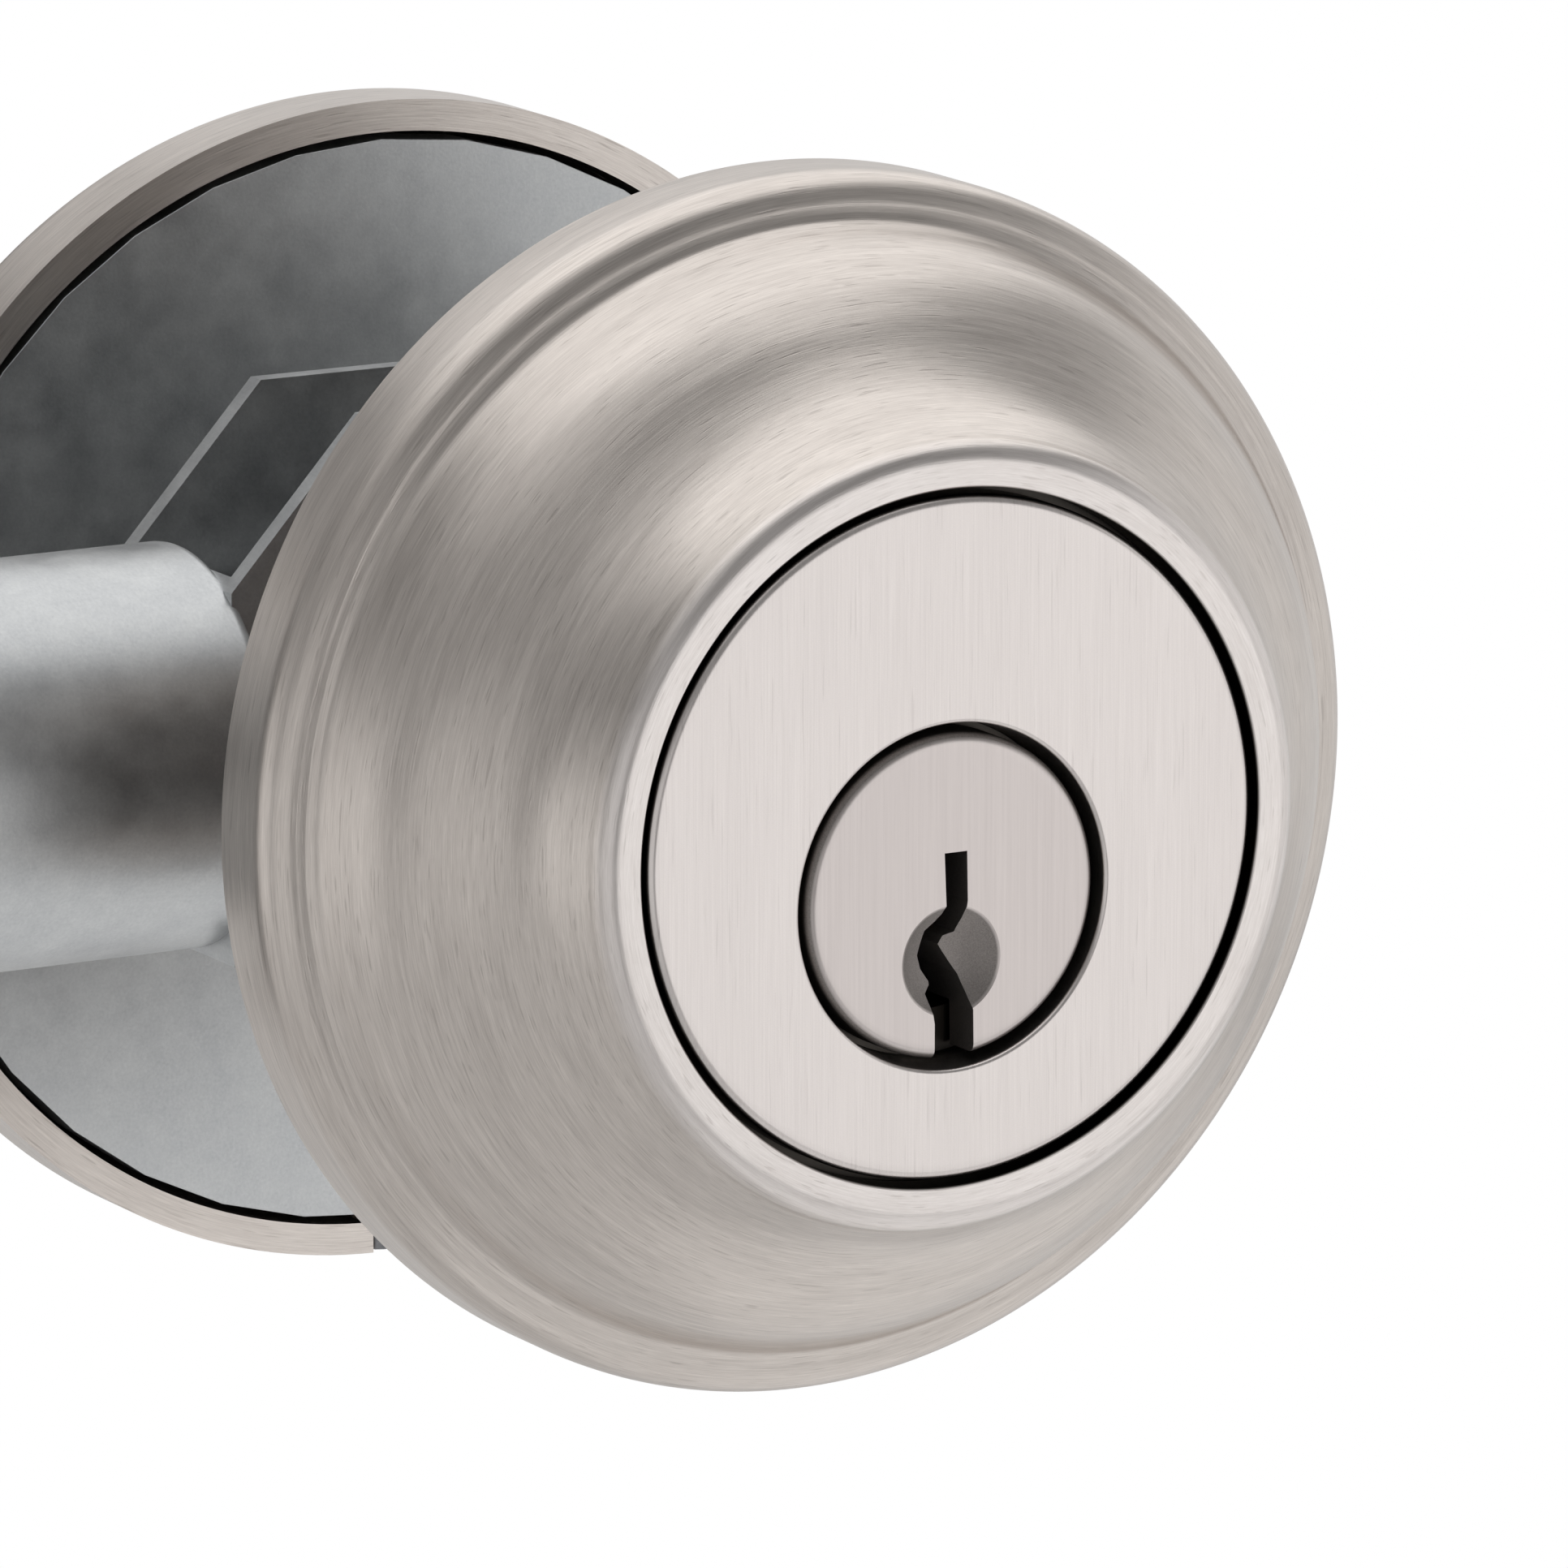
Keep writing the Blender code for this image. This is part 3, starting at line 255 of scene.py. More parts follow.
faceTones = {
    "dark": (0.60, 0.556, 0.537),
    "light": (0.72, 0.672, 0.648),
    "toneRange": (0.9, 1.8),
    "streakTone": 0.6,
    "bandTone": 0.3,
    "rough": 0.30,
    "relief": 0.003,
    # Where painted shade goes: on the face's side, and on the wall of the plug's hole between two depths.
    "rim": (18.22, 18.33),
    "hole": (9.08, 9.14),
    "holeDepth": (-18.95, -18.75),
    "holeEnd": (-13.5, -13.0),
}


def upright(run, fine):
    # Marks along Z, on pieces that aren't turned.
    return {"lay": "upright", "run": run, "fine": fine, "grainRun": 2.2 * fine, "stretch": 0.0}


roseMetal = brushed("satin_nickel_turned", satin | lipTones)
faceMetal = brushed("satin_nickel_face", satin | upright(0.12, 10.0) | faceTones)
innerMetal = brushed("satin_nickel_inner", satin | {"axisZ": lock["axisZ"], "side": -1.0})
turnMetal = brushed("satin_nickel_thumbturn", satin | upright(0.3, 6.0))
plateMetal = brushed("satin_nickel_plate", satin | upright(0.2, 6.0))


def plain(name, spec):
    # Unpolished metal: a grain, faint rubbed marks and patches of another tone.
    paint = Paint(name)
    x, y, z = parted(paint)
    place = paint.joined(x, y, z)
    across, along = spec["rub"]
    grain = paint.noise(place, spec["grain"], 3.0, 0.6)
    patch = paint.noise(place, spec["patch"], 4.0, 0.6)
    rub = paint.noise(paint.joined(x * across, y * along, z * across), 1.0, 2.0, 0.5)
    shade = grain * spec["grainTone"] + patch * spec["patchTone"] + rub * spec["rubTone"]
    colour = paint.mixed(shade.clipped(*spec["toneRange"]), spec["dark"], spec["light"])
    rough = patch * spec["roughSpread"] + (spec["rough"] - 0.5 * spec["roughSpread"])
    height = grain + rub * spec["rubRelief"]
    return paint.finish(colour, rough, paint.bump(height, spec["relief"] * mm))


zincLook = {
    "grain": 5.0,
    "patch": 0.35,
    "rub": (6.0, 0.7),
    "grainTone": 0.4,
    "patchTone": 0.9,
    "rubTone": 0.3,
    "toneRange": (0.5, 1.1),
    "dark": (0.42, 0.43, 0.44),
    "light": (0.60, 0.61, 0.61),
    "rough": 0.40,
    "roughSpread": 0.2,
    "relief": 0.004,
    "rubRelief": 0.5,
}
brassLook = {"dark": (0.55, 0.37, 0.14), "light": (0.74, 0.55, 0.26), "rough": 0.3}
springLook = {"dark": (0.28, 0.28, 0.29), "light": (0.48, 0.48, 0.49), "rough": 0.3}
hardLook = {"dark": (0.14, 0.14, 0.15), "light": (0.30, 0.30, 0.31), "rough": 0.36}
zinc = plain("zinc_plate", zincLook)
brass = plain("turned_brass", zincLook | brassLook)
spring = plain("spring_wire", zincLook | springLook)
hard = plain("oiled_hard_steel", zincLook | hardLook)
print("mixed the finishes", flush=True)


def arc(centre, radius, start, end, steps):
    # Points on a circle from one angle to another, in degrees.
    angles = [math.radians(start + (end - start) * i / steps) for i in range(steps + 1)]
    return [(centre[0] + radius * math.cos(a), centre[1] + radius * math.sin(a)) for a in angles]


def smoothLine(points, steps):
    # A curve that passes through every point.
    line = []
    ends = [points[0], *points, points[-1]]
    for before, start, end, after in zip(ends, ends[1:], ends[2:], ends[3:]):
        for i in range(steps):
            t = i / steps
            weights = (
                -0.5 * t + t * t - 0.5 * t**3,
                1 - 2.5 * t * t + 1.5 * t**3,
                0.5 * t + 2 * t * t - 1.5 * t**3,
                -0.5 * t * t + 0.5 * t**3,
            )
            corners = (before, start, end, after)
            line.append(tuple(sum(w * p[k] for w, p in zip(weights, corners)) for k in range(2)))
    return line + [points[-1]]


def spun(outline, steps, axisZ=0.0, closed=True):
    # An outline of (radius, y), in millimetres, turned about a line along Y.
    bm = bmesh.new()
    verts = [bm.verts.new((radius * mm, y * mm, 0)) for radius, y in outline]
    edges = [bm.edges.new(pair) for pair in zip(verts, verts[1:])]
    if closed:
        edges.append(bm.edges.new((verts[-1], verts[0])))
    turn = {"cent": (0, 0, 0), "axis": (0, 1, 0), "angle": math.tau}
    bmesh.ops.spin(bm, geom=verts + edges, steps=steps, use_merge=True, **turn)
    bm.transform(Matrix.Translation((0, 0, axisZ * mm)))
    return bm


def prism(outline, low, high):
    # An outline of (x, z), in millimetres, with a thickness along Y.
    bm = bmesh.new()
    face = bm.faces.new([bm.verts.new((x * mm, low * mm, z * mm)) for x, z in outline])
    grown = bmesh.ops.extrude_face_region(bm, geom=[face])["geom"]
    lifted = [v for v in grown if isinstance(v, bmesh.types.BMVert)]
    bmesh.ops.translate(bm, verts=lifted, vec=(0, (high - low) * mm, 0))
    return bm


def shifted(bm, x=0.0, y=0.0, z=0.0):
    bm.transform(Matrix.Translation((x * mm, y * mm, z * mm)))
    return bm


def bevelled(bm, edges, size, segments):
    settings = {"segments": segments, "profile": 0.5, "affect": "EDGES", "material": -1}
    bmesh.ops.bevel(bm, geom=edges, offset=size * mm, **settings)
    return bm


# Edges that turn by more than this, in degrees, shade sharp. The dimple in the plug has a shallower one.
sharpEdge = 32
dimpleEdge = 24


def piece(name, bm, material):
    bmesh.ops.remove_doubles(bm, verts=bm.verts, dist=0.0005 * mm)
    bmesh.ops.recalc_face_normals(bm, faces=bm.faces)
    mesh = bpy.data.meshes.new(name)
    bm.to_mesh(mesh)
    bm.free()
    mesh.shade_smooth()
    mesh.set_sharp_from_angle(angle=math.radians(sharpEdge))
    mesh.materials.append(material)
    made = bpy.data.objects.new(name, mesh)
    bpy.context.scene.collection.objects.link(made)
    return made


def combined(target, operation, bm):
    # Cuts a shape from the target, or joins it on, and keeps the result as a plain mesh.
    tool = piece("tool", bm, target.data.materials[0])
    modifier = target.modifiers.new(operation.title(), "BOOLEAN")
    modifier.operation = operation
    modifier.solver = "EXACT"
    modifier.object = tool
    graph = bpy.context.evaluated_depsgraph_get()
    mesh = bpy.data.meshes.new_from_object(target.evaluated_get(graph))
    target.modifiers.clear()
    target.data = mesh
    bpy.data.objects.remove(tool)
    mesh.name = target.name


def evened(target, sharp=sharpEdge):
    # Shades large faces flat, with their shading kept apart at sharp edges.
    target.data.set_sharp_from_angle(angle=math.radians(sharp))
    modifier = target.modifiers.new("Shading", "WEIGHTED_NORMAL")
    modifier.keep_sharp = True


def standsFor(made, body, node):
    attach(made, body)
    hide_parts(node)
    print("placed", made.name, "on", body, flush=True)


# Exterior rose: rim, ledge, ogee and lip, about 2 mm thick, as (radius, height) off the door.
outerRose = {
    "rim": [(33.3, 0.0), (33.3, 3.4)],
    "rimTop": ((31.3, 3.4), 2.0),
    "ogee": [
        (31.2, 5.42),
        (30.8, 5.66),
        (30.45, 6.15),
        (30.0, 7.1),
        (29.3, 8.5),
        (28.2, 10.0),
        (26.7, 11.5),
        (25.1, 12.85),
        (23.7, 14.2),
        (22.6, 15.6),
        (21.85, 16.95),
        (21.4, 17.85),
    ],
    "lipTop": ((20.0, 18.0), 1.3),
    "lipFlat": 19.6,
    "hole": 18.75,
    "holeEdge": 0.12,
    "lipThickness": 2.0,
    "inside": [(20.6, 16.2), (25.2, 10.6), (28.6, 6.5), (31.5, 3.4), (31.5, 0.0)],
}


def buildOuterRose(spec):
    hole, edge, lip = spec["hole"], spec["holeEdge"], spec["lipTop"]
    height = lip[0][1] + lip[1]
    under = height - spec["lipThickness"]
    outside = spec["rim"] + arc(*spec["rimTop"], 0, 80, 12) + smoothLine(spec["ogee"], 8)
    outside += arc(*lip, 10, 90, 14) + [(spec["lipFlat"], height)]
    outside += [(hole + edge, height), (hole, height - edge)]
    inside = [(hole, under), (spec["inside"][0][0], under)] + spec["inside"]
    outline = [(radius, -rise) for radius, rise in outside + inside]
    made = piece("exterior_rose", spun(outline, 288), roseMetal)
    standsFor(made, "lock_body", "rose_exterior")


# Cylinder: the round face with the plug's hole, the flange behind the rose's lip, barrel and pin tower.
cylinder = {
    "faceRadius": 18.35,
    "faceRound": 0.5,
    "flangeRadius": 19.9,
    "flangeBack": -13.0,
    "barrelRadius": 10.2,
    "rear": 7.0,
    "towerWidth": 8.4,
    "towerTop": 18.35,
    "towerRound": 0.5,
    "postRadius": 3.5,
    "postX": 15.5,
    "postEnd": 9.0,
    "postRound": 0.4,
    "plugRoom": 9.05,
    "plugRoomRound": 0.25,
    "plugRoomFloor": -16.2,
    "plugBore": 6.65,
    "threadBore": [(2.6, -8), (2.6, 8.6), (3.2, 9.2), (3.2, 10)],
    "coverSlot": (5.2, 17.35, 19.4),
    "coverSlotStart": -12.7,
}


def oblong(width, low, high):
    return [(-width / 2, low), (width / 2, low), (width / 2, high), (-width / 2, high)]


def onAxis(line):
    # Carries a line of (radius, y) to the axis at both ends, so that it spins into a closed shape.
    return [(0, line[0][1]), *line, (0, line[-1][1])]


def buildCylinder(spec):
    axisZ, faceY, flangeY = lock["axisZ"], lock["faceY"], lock["flangeY"]
    edge, rear, back = spec["faceRound"], spec["rear"], spec["flangeBack"]
    corner = spec["faceRadius"] - edge
    line = [(corner - 0.4, faceY)] + arc((corner, faceY + edge), edge, -90, 0, 8)
    line += [(spec["faceRadius"], flangeY), (spec["flangeRadius"], flangeY), (spec["flangeRadius"], back)]
    made = piece("lock_cylinder", spun(onAxis(line), 256, closed=False), faceMetal)

    half, top, soft = spec["towerWidth"] / 2, spec["towerTop"], spec["towerRound"]
    lean = math.degrees(math.asin(half / spec["barrelRadius"]))
    barrel = arc((0, 0), spec["barrelRadius"], 90 + lean, 450 - lean, 90)
    for x, start in ((half - soft, 0), (soft - half, 90)):
        barrel += arc((x, top - soft), soft, start, start + 90, 4)
    combined(made, "UNION", shifted(prism(barrel, back - 1, rear), z=axisZ))

    radius, end, soft = spec["postRadius"], spec["postEnd"], spec["postRound"]
    post = [(radius, back - 1)] + arc((radius - soft, end - soft), soft, 0, 90, 4)
    for side in (-1, 1):
        shape = spun(onAxis(post), 48, axisZ, closed=False)
        combined(made, "UNION", shifted(shape, x=side * spec["postX"]))

    room, soft, seat = spec["plugRoom"], spec["plugRoomRound"], spec["plugRoomFloor"]
    mouth = arc((room, faceY + soft), soft, -90, 0, 5)
    hole = [(room + soft, faceY - 1)] + [(2 * room + 2 * soft - radius, y) for radius, y in mouth]
    hole += [(room, seat), (spec["plugBore"], seat), (spec["plugBore"], rear + 1)]
    combined(made, "DIFFERENCE", spun(onAxis(hole), 192, axisZ, closed=False))
    for side in (-1, 1):
        shape = spun(onAxis(spec["threadBore"]), 48, axisZ, closed=False)
        combined(made, "DIFFERENCE", shifted(shape, x=side * spec["postX"]))
    slot = prism(oblong(*spec["coverSlot"]), spec["coverSlotStart"], rear + 1)
    combined(made, "DIFFERENCE", shifted(slot, z=axisZ))
    evened(made)
    standsFor(made, "lock_body", "cylinder_housing")


# Plug: its flange in the face, the warded keyway and the dimple round it.
plug = {
    "front": -19.0,
    "flangeRadius": 8.75,
    "flangeRound": 0.55,
    "shoulder": -16.5,
    "radius": 6.35,
    "grooveRadius": 5.65,
    "groove": (7.3, 8.7),
    "rear": 10.4,
    "rearEdge": 0.2,
    "keywayEnd": 7.0,
    "dimpleDrop": 3.5,
    "dimpleRadius": 3.0,
    "dimpleDepth": 0.9,
    "dogRadii": (2.22, 4.45),
    "dogHeight": 1.2,
    "keyRight": [
        (0.95, 2.35),
        (1.0, -0.35),
        (0.85, -1.3),
        (0.55, -2.1),
        (-0.1, -2.25),
        (-0.35, -2.7),
        (0.1, -3.35),
        (0.8, -4.4),
        (1.1, -5.3),
        (1.35, -6.3),
        (1.4, -9.8),
    ],
    "keyLeft": [
        (-1.0, -9.8),
        (-1.0, -6.8),
        (-1.15, -5.9),
        (-1.35, -5.2),
        (-1.0, -4.8),
        (-1.0, -4.6),
        (-1.5, -3.9),
        (-1.75, -3.1),
        (-1.4, -1.8),
        (-0.8, -1.35),
        (-0.45, -0.95),
        (-0.3, -0.5),
        (-0.42, 2.35),
    ],
}
plugTones = {
    "hair": (0.12, 7.5, 0.0),
    "streak": (0.06, 1.6, 4.0),
    "hairTone": 0.9,
    "streakTone": 0.8,
    "toneRange": (0.35, 1.4),
    "dark": (0.525, 0.478, 0.462),
    "light": (0.65, 0.595, 0.575),
    "rough": 0.3,
    "streakRough": 0.08,
    "dimpleRough": 0.18,
    "relief": 0.004,
    "grain": 14.0,
    "grainRange": (0.3, 0.7),
    # The dimple's ground finish, painted darker to stand in for its dark reflection.
    "dimpleDark": (0.21, 0.19, 0.18),
    "dimpleLight": (0.31, 0.285, 0.27),
    "dimpleEdge": (0.03, 0.1),
    # Where painted shade starts on the plug's side.
    "side": (8.7, 8.75),
}


def plugPaint(spec, tones):
    # The brushed face; the ground dimple round the keyway, a matte finish painted darker to stand in for
    # its dark reflection; and painted shade on the plug's side.
    paint = Paint("satin_nickel_plug")
    x, y, z = parted(paint)

    def marks(run, fine, shift):
        return paint.joined(z * run + shift, x * fine, y * fine)

    hair = paint.noise(marks(*tones["hair"]), 1.0, 3.0, 0.6)
    streak = paint.noise(marks(*tones["streak"]), 1.0, 3.0, 0.5)
    grain = paint.noise(paint.joined(x, y, z), tones["grain"], 3.0, 0.6)
    sunk = (y - spec["front"]).clipped(*tones["dimpleEdge"])
    shade = hair * tones["hairTone"] + streak * tones["streakTone"]
    metal = paint.mixed(shade.clipped(*tones["toneRange"]), tones["dark"], tones["light"])
    # The dimple: a ground finish, painted darker to stand in for its dark reflection.
    ground = grain.clipped(*tones["grainRange"])
    dimpleGroundAndShade = paint.mixed(ground, tones["dimpleDark"], tones["dimpleLight"])
    colour = paint.mixed(sunk, metal, dimpleGroundAndShade)
    # Painted shade on the plug's side, in the narrow gap round it.
    radius = paint.length(paint.joined(x, 0.0, z - lock["axisZ"]))
    colour = paint.mixed(radius.clipped(*tones["side"]), colour, shadow)
    rough = tones["rough"] + streak * tones["streakRough"] + sunk * tones["dimpleRough"]
    height = hair * (1.0 - sunk) + grain * sunk
    return paint.finish(colour, rough, paint.bump(height, tones["relief"] * mm))


def buildPlug(spec, tones):
    axisZ, front, rear = lock["axisZ"], spec["front"], spec["rear"]
    radius, soft, chamfer = spec["radius"], spec["flangeRound"], spec["rearEdge"]
    corner = spec["flangeRadius"] - soft
    line = [(corner - 0.3, front)] + arc((corner, front + soft), soft, -90, 0, 6)
    line += [(spec["flangeRadius"], spec["shoulder"]), (radius, spec["shoulder"])]
    low, high = spec["groove"]
    line += [(radius, low), (spec["grooveRadius"], low), (spec["grooveRadius"], high), (radius, high)]
    line += [(radius, rear - chamfer), (radius - chamfer, rear)]
    made = piece("key_plug", spun(onAxis(line), 192, axisZ, closed=False), plugPaint(spec, tones))

    deep, wide = spec["dimpleDepth"], spec["dimpleRadius"]
    ball = (wide * wide + deep * deep) / (2 * deep)
    edge = math.degrees(math.asin((ball - deep) / ball))
    dish = arc((0, deep - ball), ball, 90, edge - 4, 10) + [(wide + 1.5, -1.5), (0, -1.5)]
    dish = spun([(across, front + y) for across, y in dish], 96, axisZ, closed=False)
    combined(made, "DIFFERENCE", shifted(dish, z=-spec["dimpleDrop"]))
    keyway = (spec["keyRight"] + spec["keyLeft"])[::-1]
    combined(made, "DIFFERENCE", shifted(prism(keyway, front - 1, spec["keywayEnd"]), z=axisZ))
    inner, outer = spec["dogRadii"]
    dog = arc((0, 0), outer, 76, 104, 8) + arc((0, 0), inner, 104, 76, 8)
    combined(made, "UNION", shifted(prism(dog, rear - 1, rear + spec["dogHeight"]), z=axisZ))
    evened(made, sharp=dimpleEdge)
    standsFor(made, "plug_body", "plug")


# Interior rose: the same rim, a shallower ogee and a wider lip round the thumbturn's shaft.
innerRose = {
    "rim": [(33.3, 0.0), (33.3, 4.25)],
    "rimTop": ((32.35, 4.25), 0.95),
    "ogee": [
        (32.1, 5.22),
        (31.5, 5.3),
        (30.9, 5.5),
        (29.6, 6.35),
        (27.6, 7.6),
        (25.2, 8.75),
        (22.4, 9.7),
        (19.4, 10.35),
        (16.4, 10.95),
        (14.0, 11.6),
        (12.4, 12.2),
    ],
    "lipTop": ((10.9, 12.2), 0.8),
    "hole": 5.9,
    "holeEdge": 0.2,
    "inside": [
        (5.9, 11.0),
        (11.0, 11.0),
        (16.0, 9.3),
        (22.0, 8.0),
        (27.0, 6.1),
        (30.0, 4.2),
        (31.5, 3.4),
        (31.5, 0.0),
    ],
    "screwHole": 1.55,
    "screwSpan": (-35, -30),
    "screwHeight": 1.2,
}


def buildInnerRose(spec):
    axisZ, door = lock["axisZ"], lock["doorThickness"]
    hole, edge, lip = spec["hole"], spec["holeEdge"], spec["lipTop"]
    height = lip[0][1] + lip[1]
    outside = spec["rim"] + arc(*spec["rimTop"], 0, 80, 12) + smoothLine(spec["ogee"], 8)
    outside += arc(*lip, 40, 90, 8) + [(hole + edge, height), (hole, height - edge)]
    outline = [(radius, door + rise) for radius, rise in outside + spec["inside"]]
    made = piece("interior_rose", spun(outline, 224, axisZ), innerMetal)
    low, high = spec["screwSpan"]
    screw = spun(onAxis([(spec["screwHole"], low), (spec["screwHole"], high)]), 40, closed=False)
    screw.transform(Matrix.Rotation(quarterTurn, 4, "X"))
    combined(made, "DIFFERENCE", shifted(screw, y=door + spec["screwHeight"], z=axisZ))
    evened(made)
    standsFor(made, "lock_body", "rose_interior")


# Thumbturn: shaft, collar and neck, and an oval paddle that stands upright with the bolt drawn back.
thumbturn = {
    "start": 49.15,
    "shaft": 5.5,
    "shaftEdge": 0.3,
    "groove": (4.9, 53.2, 54.6),
    "collarStart": 57.85,
    "collarArcs": [((8.25, 58.1), 0.25, -90, 0, 4), ((7.8, 59.15), 0.7, 0, 70, 6)],
    "shoulder": [(7.5, 59.95), (6.4, 60.35), (5.2, 60.9), (4.6, 62.1), (4.6, 63.6)],
    "neck": [(4.7, 64.8), (5.1, 66.45)],
    "paddle": (4.5, 7.5, 17.5),
    "paddleY": 70.95,
    "slot": (2.2, 5.8),
    "slotEnd": 57.6,
}


def buildThumbturn(spec):
    axisZ, start, shaft, edge = lock["axisZ"], spec["start"], spec["shaft"], spec["shaftEdge"]
    waist, low, high = spec["groove"]
    line = [(shaft - edge, start), (shaft, start + edge), (shaft, low), (waist, low), (waist, high)]
    line += [(shaft, high), (shaft, spec["collarStart"])]
    for bend in spec["collarArcs"]:
        line += arc(*bend)
    line += smoothLine(spec["shoulder"], 6) + spec["neck"]
    made = piece("thumb_turn", spun(onAxis(line), 144, axisZ, closed=False), turnMetal)
    paddle = bmesh.new()
    bmesh.ops.create_uvsphere(paddle, u_segments=96, v_segments=64, radius=mm)
    paddle.transform(Matrix.Diagonal((*spec["paddle"], 1)))
    combined(made, "UNION", shifted(paddle, y=spec["paddleY"], z=axisZ))
    wide, tall = spec["slot"]
    slot = prism(oblong(wide, -tall / 2, tall / 2), start - 1, spec["slotEnd"])
    combined(made, "DIFFERENCE", shifted(slot, z=axisZ))
    evened(made)
    standsFor(made, "thumbturn_body", "thumbturn")


# Latch pieces are made lying along Y, then turned to lie along X at the latch's height.
def alongLatch(bm):
    bm.transform(Matrix.Translation((0, lock["latchY"] * mm, 0)) @ Matrix.Rotation(-quarterTurn, 4, "Z"))
    return bm


def stadium(width, height, steps):
    # A slot shape with round ends, taller than it is wide.
    radius, reach = width / 2, (height - width) / 2
    return arc((0, reach), radius, 0, 180, steps) + arc((0, -reach), radius, 180, 360, steps)


def softCorners(width, height, corner, steps):
    # A rectangle with round corners.
    points = []
    for sideX, sideZ, start in ((1, 1, 0), (-1, 1, 90), (-1, -1, 180), (1, -1, 270)):
        centre = (sideX * (width / 2 - corner), sideZ * (height / 2 - corner))
        points += arc(centre, corner, start, start + 90, steps)
    return points


def softEdges(bm, low, high, size):
    # Rounds the edges round a prism's two ends, as given along Y.
    def atEnd(edge):
        return all(v.co.y < low * mm + 1e-6 for v in edge.verts) or all(
            v.co.y > high * mm - 1e-6 for v in edge.verts
        )

    return bevelled(bm, [edge for edge in bm.edges if atEnd(edge)], size, 3)


edgePlates = {
    "door_edge_faceplate": {
        "node": "faceplate",
        "slot": "satin_nickel",
        "size": (25.4, 57.15, 6.35),
        "span": (-60.3, -57.9),
        "edge": 0.18,
        "opening": stadium(16.7, 19.8, 32),
        "hole": [(5.4, -61.3), (2.4, -58.3), (2.4, -56.9)],
    },
    "latch_strap": {
        "node": "latch_backplate",
        "slot": "zinc_plated_steel",
        "size": (24.4, 56.15, 5.85),
        "span": (-57.6, -56.1),
        "edge": 0.18,
        "opening": arc((0, 0), 11.4, 0, 357, 119),
        "hole": [(2.7, -58.6), (2.7, -55.1)],
    },
}


def buildEdgePlate(name, spec, metal):
    low, high = spec["span"]
    body = softEdges(prism(softCorners(*spec["size"], 12), low, high), low, high, spec["edge"])
    made = piece(name, alongLatch(body), metal)
    combined(made, "DIFFERENCE", alongLatch(prism(spec["opening"], low - 1, high + 1)))
    for side in (-1, 1):
        hole = spun(onAxis(spec["hole"]), 64, closed=False)
        hole = shifted(hole, z=side * lock["plateScrewSpread"])
        combined(made, "DIFFERENCE", alongLatch(hole))
    evened(made)
    standsFor(made, "lock_body", spec["node"])


# Latch case: the tube behind the edge plates, and two side plates round the hub.
latchCase = {
    "front": -57.6,
    "tubeEnd": -25.2,
    "back": -24.0,
    "backRound": 0.8,
    "bore": 10.1,
    "radius": 11.1,
    "mouthEdge": 0.2,
    "sideInner": 5.5,
    "sideOuter": 6.7,
    "sideStart": -24.6,
    "rear": 20.5,
    "shoulder": 16.4,
    "waist": 9.5,
    "top": 18.46,
    "crossHoles": [(0.0, 5.5), (-15.5, 2.9), (15.5, 2.9)],
    "barSlot": (0.02, 6.26, 4.5, 8.0),
}


def block(x0, x1, y0, y1, z0, z1):
    return prism([(x0, z0), (x1, z0), (x1, z1), (x0, z1)], y0, y1)


def buildLatchCase(spec, metal):
    radius, bore, front, back = spec["radius"], spec["bore"], spec["front"], spec["back"]
    latchY, tubeEnd, edge, soft = lock["latchY"], spec["tubeEnd"], spec["mouthEdge"], spec["backRound"]
    line = [(0, tubeEnd), (bore, tubeEnd), (bore, front + edge), (bore + edge, front)]
    line += [(radius - edge, front), (radius, front + edge)]
    line += arc((radius - soft, back - soft), soft, 0, 90, 5) + [(0, back)]
    made = piece("latch_tube_and_case", alongLatch(spun(line, 144, closed=False)), metal)

    shoulder, waist, rear, top = spec["shoulder"], spec["waist"], spec["rear"], spec["top"]
    start, inner, outer = spec["sideStart"], spec["sideInner"], spec["sideOuter"]
    side = [(start, -radius), (rear - 1, -radius), (rear, 1 - radius), (rear, waist), (shoulder, top)]
    side += [(-shoulder, top), (start, waist)]
    combined(made, "UNION", prism(side, latchY - outer, latchY + outer))
    room = block(back, rear + 1, latchY - inner, latchY + inner, 1 - radius, top + 1)
    combined(made, "DIFFERENCE", room)
    y0, y1, z0, z1 = spec["barSlot"]
    combined(made, "DIFFERENCE", block(tubeEnd - 1, back + 1, latchY + y0, latchY + y1, z0, z1))
    for x, hole in spec["crossHoles"]:
        cutter = spun(onAxis([(hole, latchY - 8), (hole, latchY + 8)]), 64, lock["axisZ"], closed=False)
        combined(made, "DIFFERENCE", shifted(cutter, x=x))
    evened(made)
    standsFor(made, "lock_body", "latch_case")


# Bolt: a bar with round top and bottom, bored for its hard core and slotted for the tail.
bolt = {
    "front": -60.3,
    "rear": -26.0,
    "size": (15.9, 19.0),
    "nose": 0.8,
    "coreRadius": 3.2,
    "coreStart": -54.3,
    "coreDrop": 2.6,
    "barStart": -36.3,
    "barSlot": (0.12, 5.12, 4.6, 7.9),
    "pin": (-31.0, 6.25, 1.3),
}


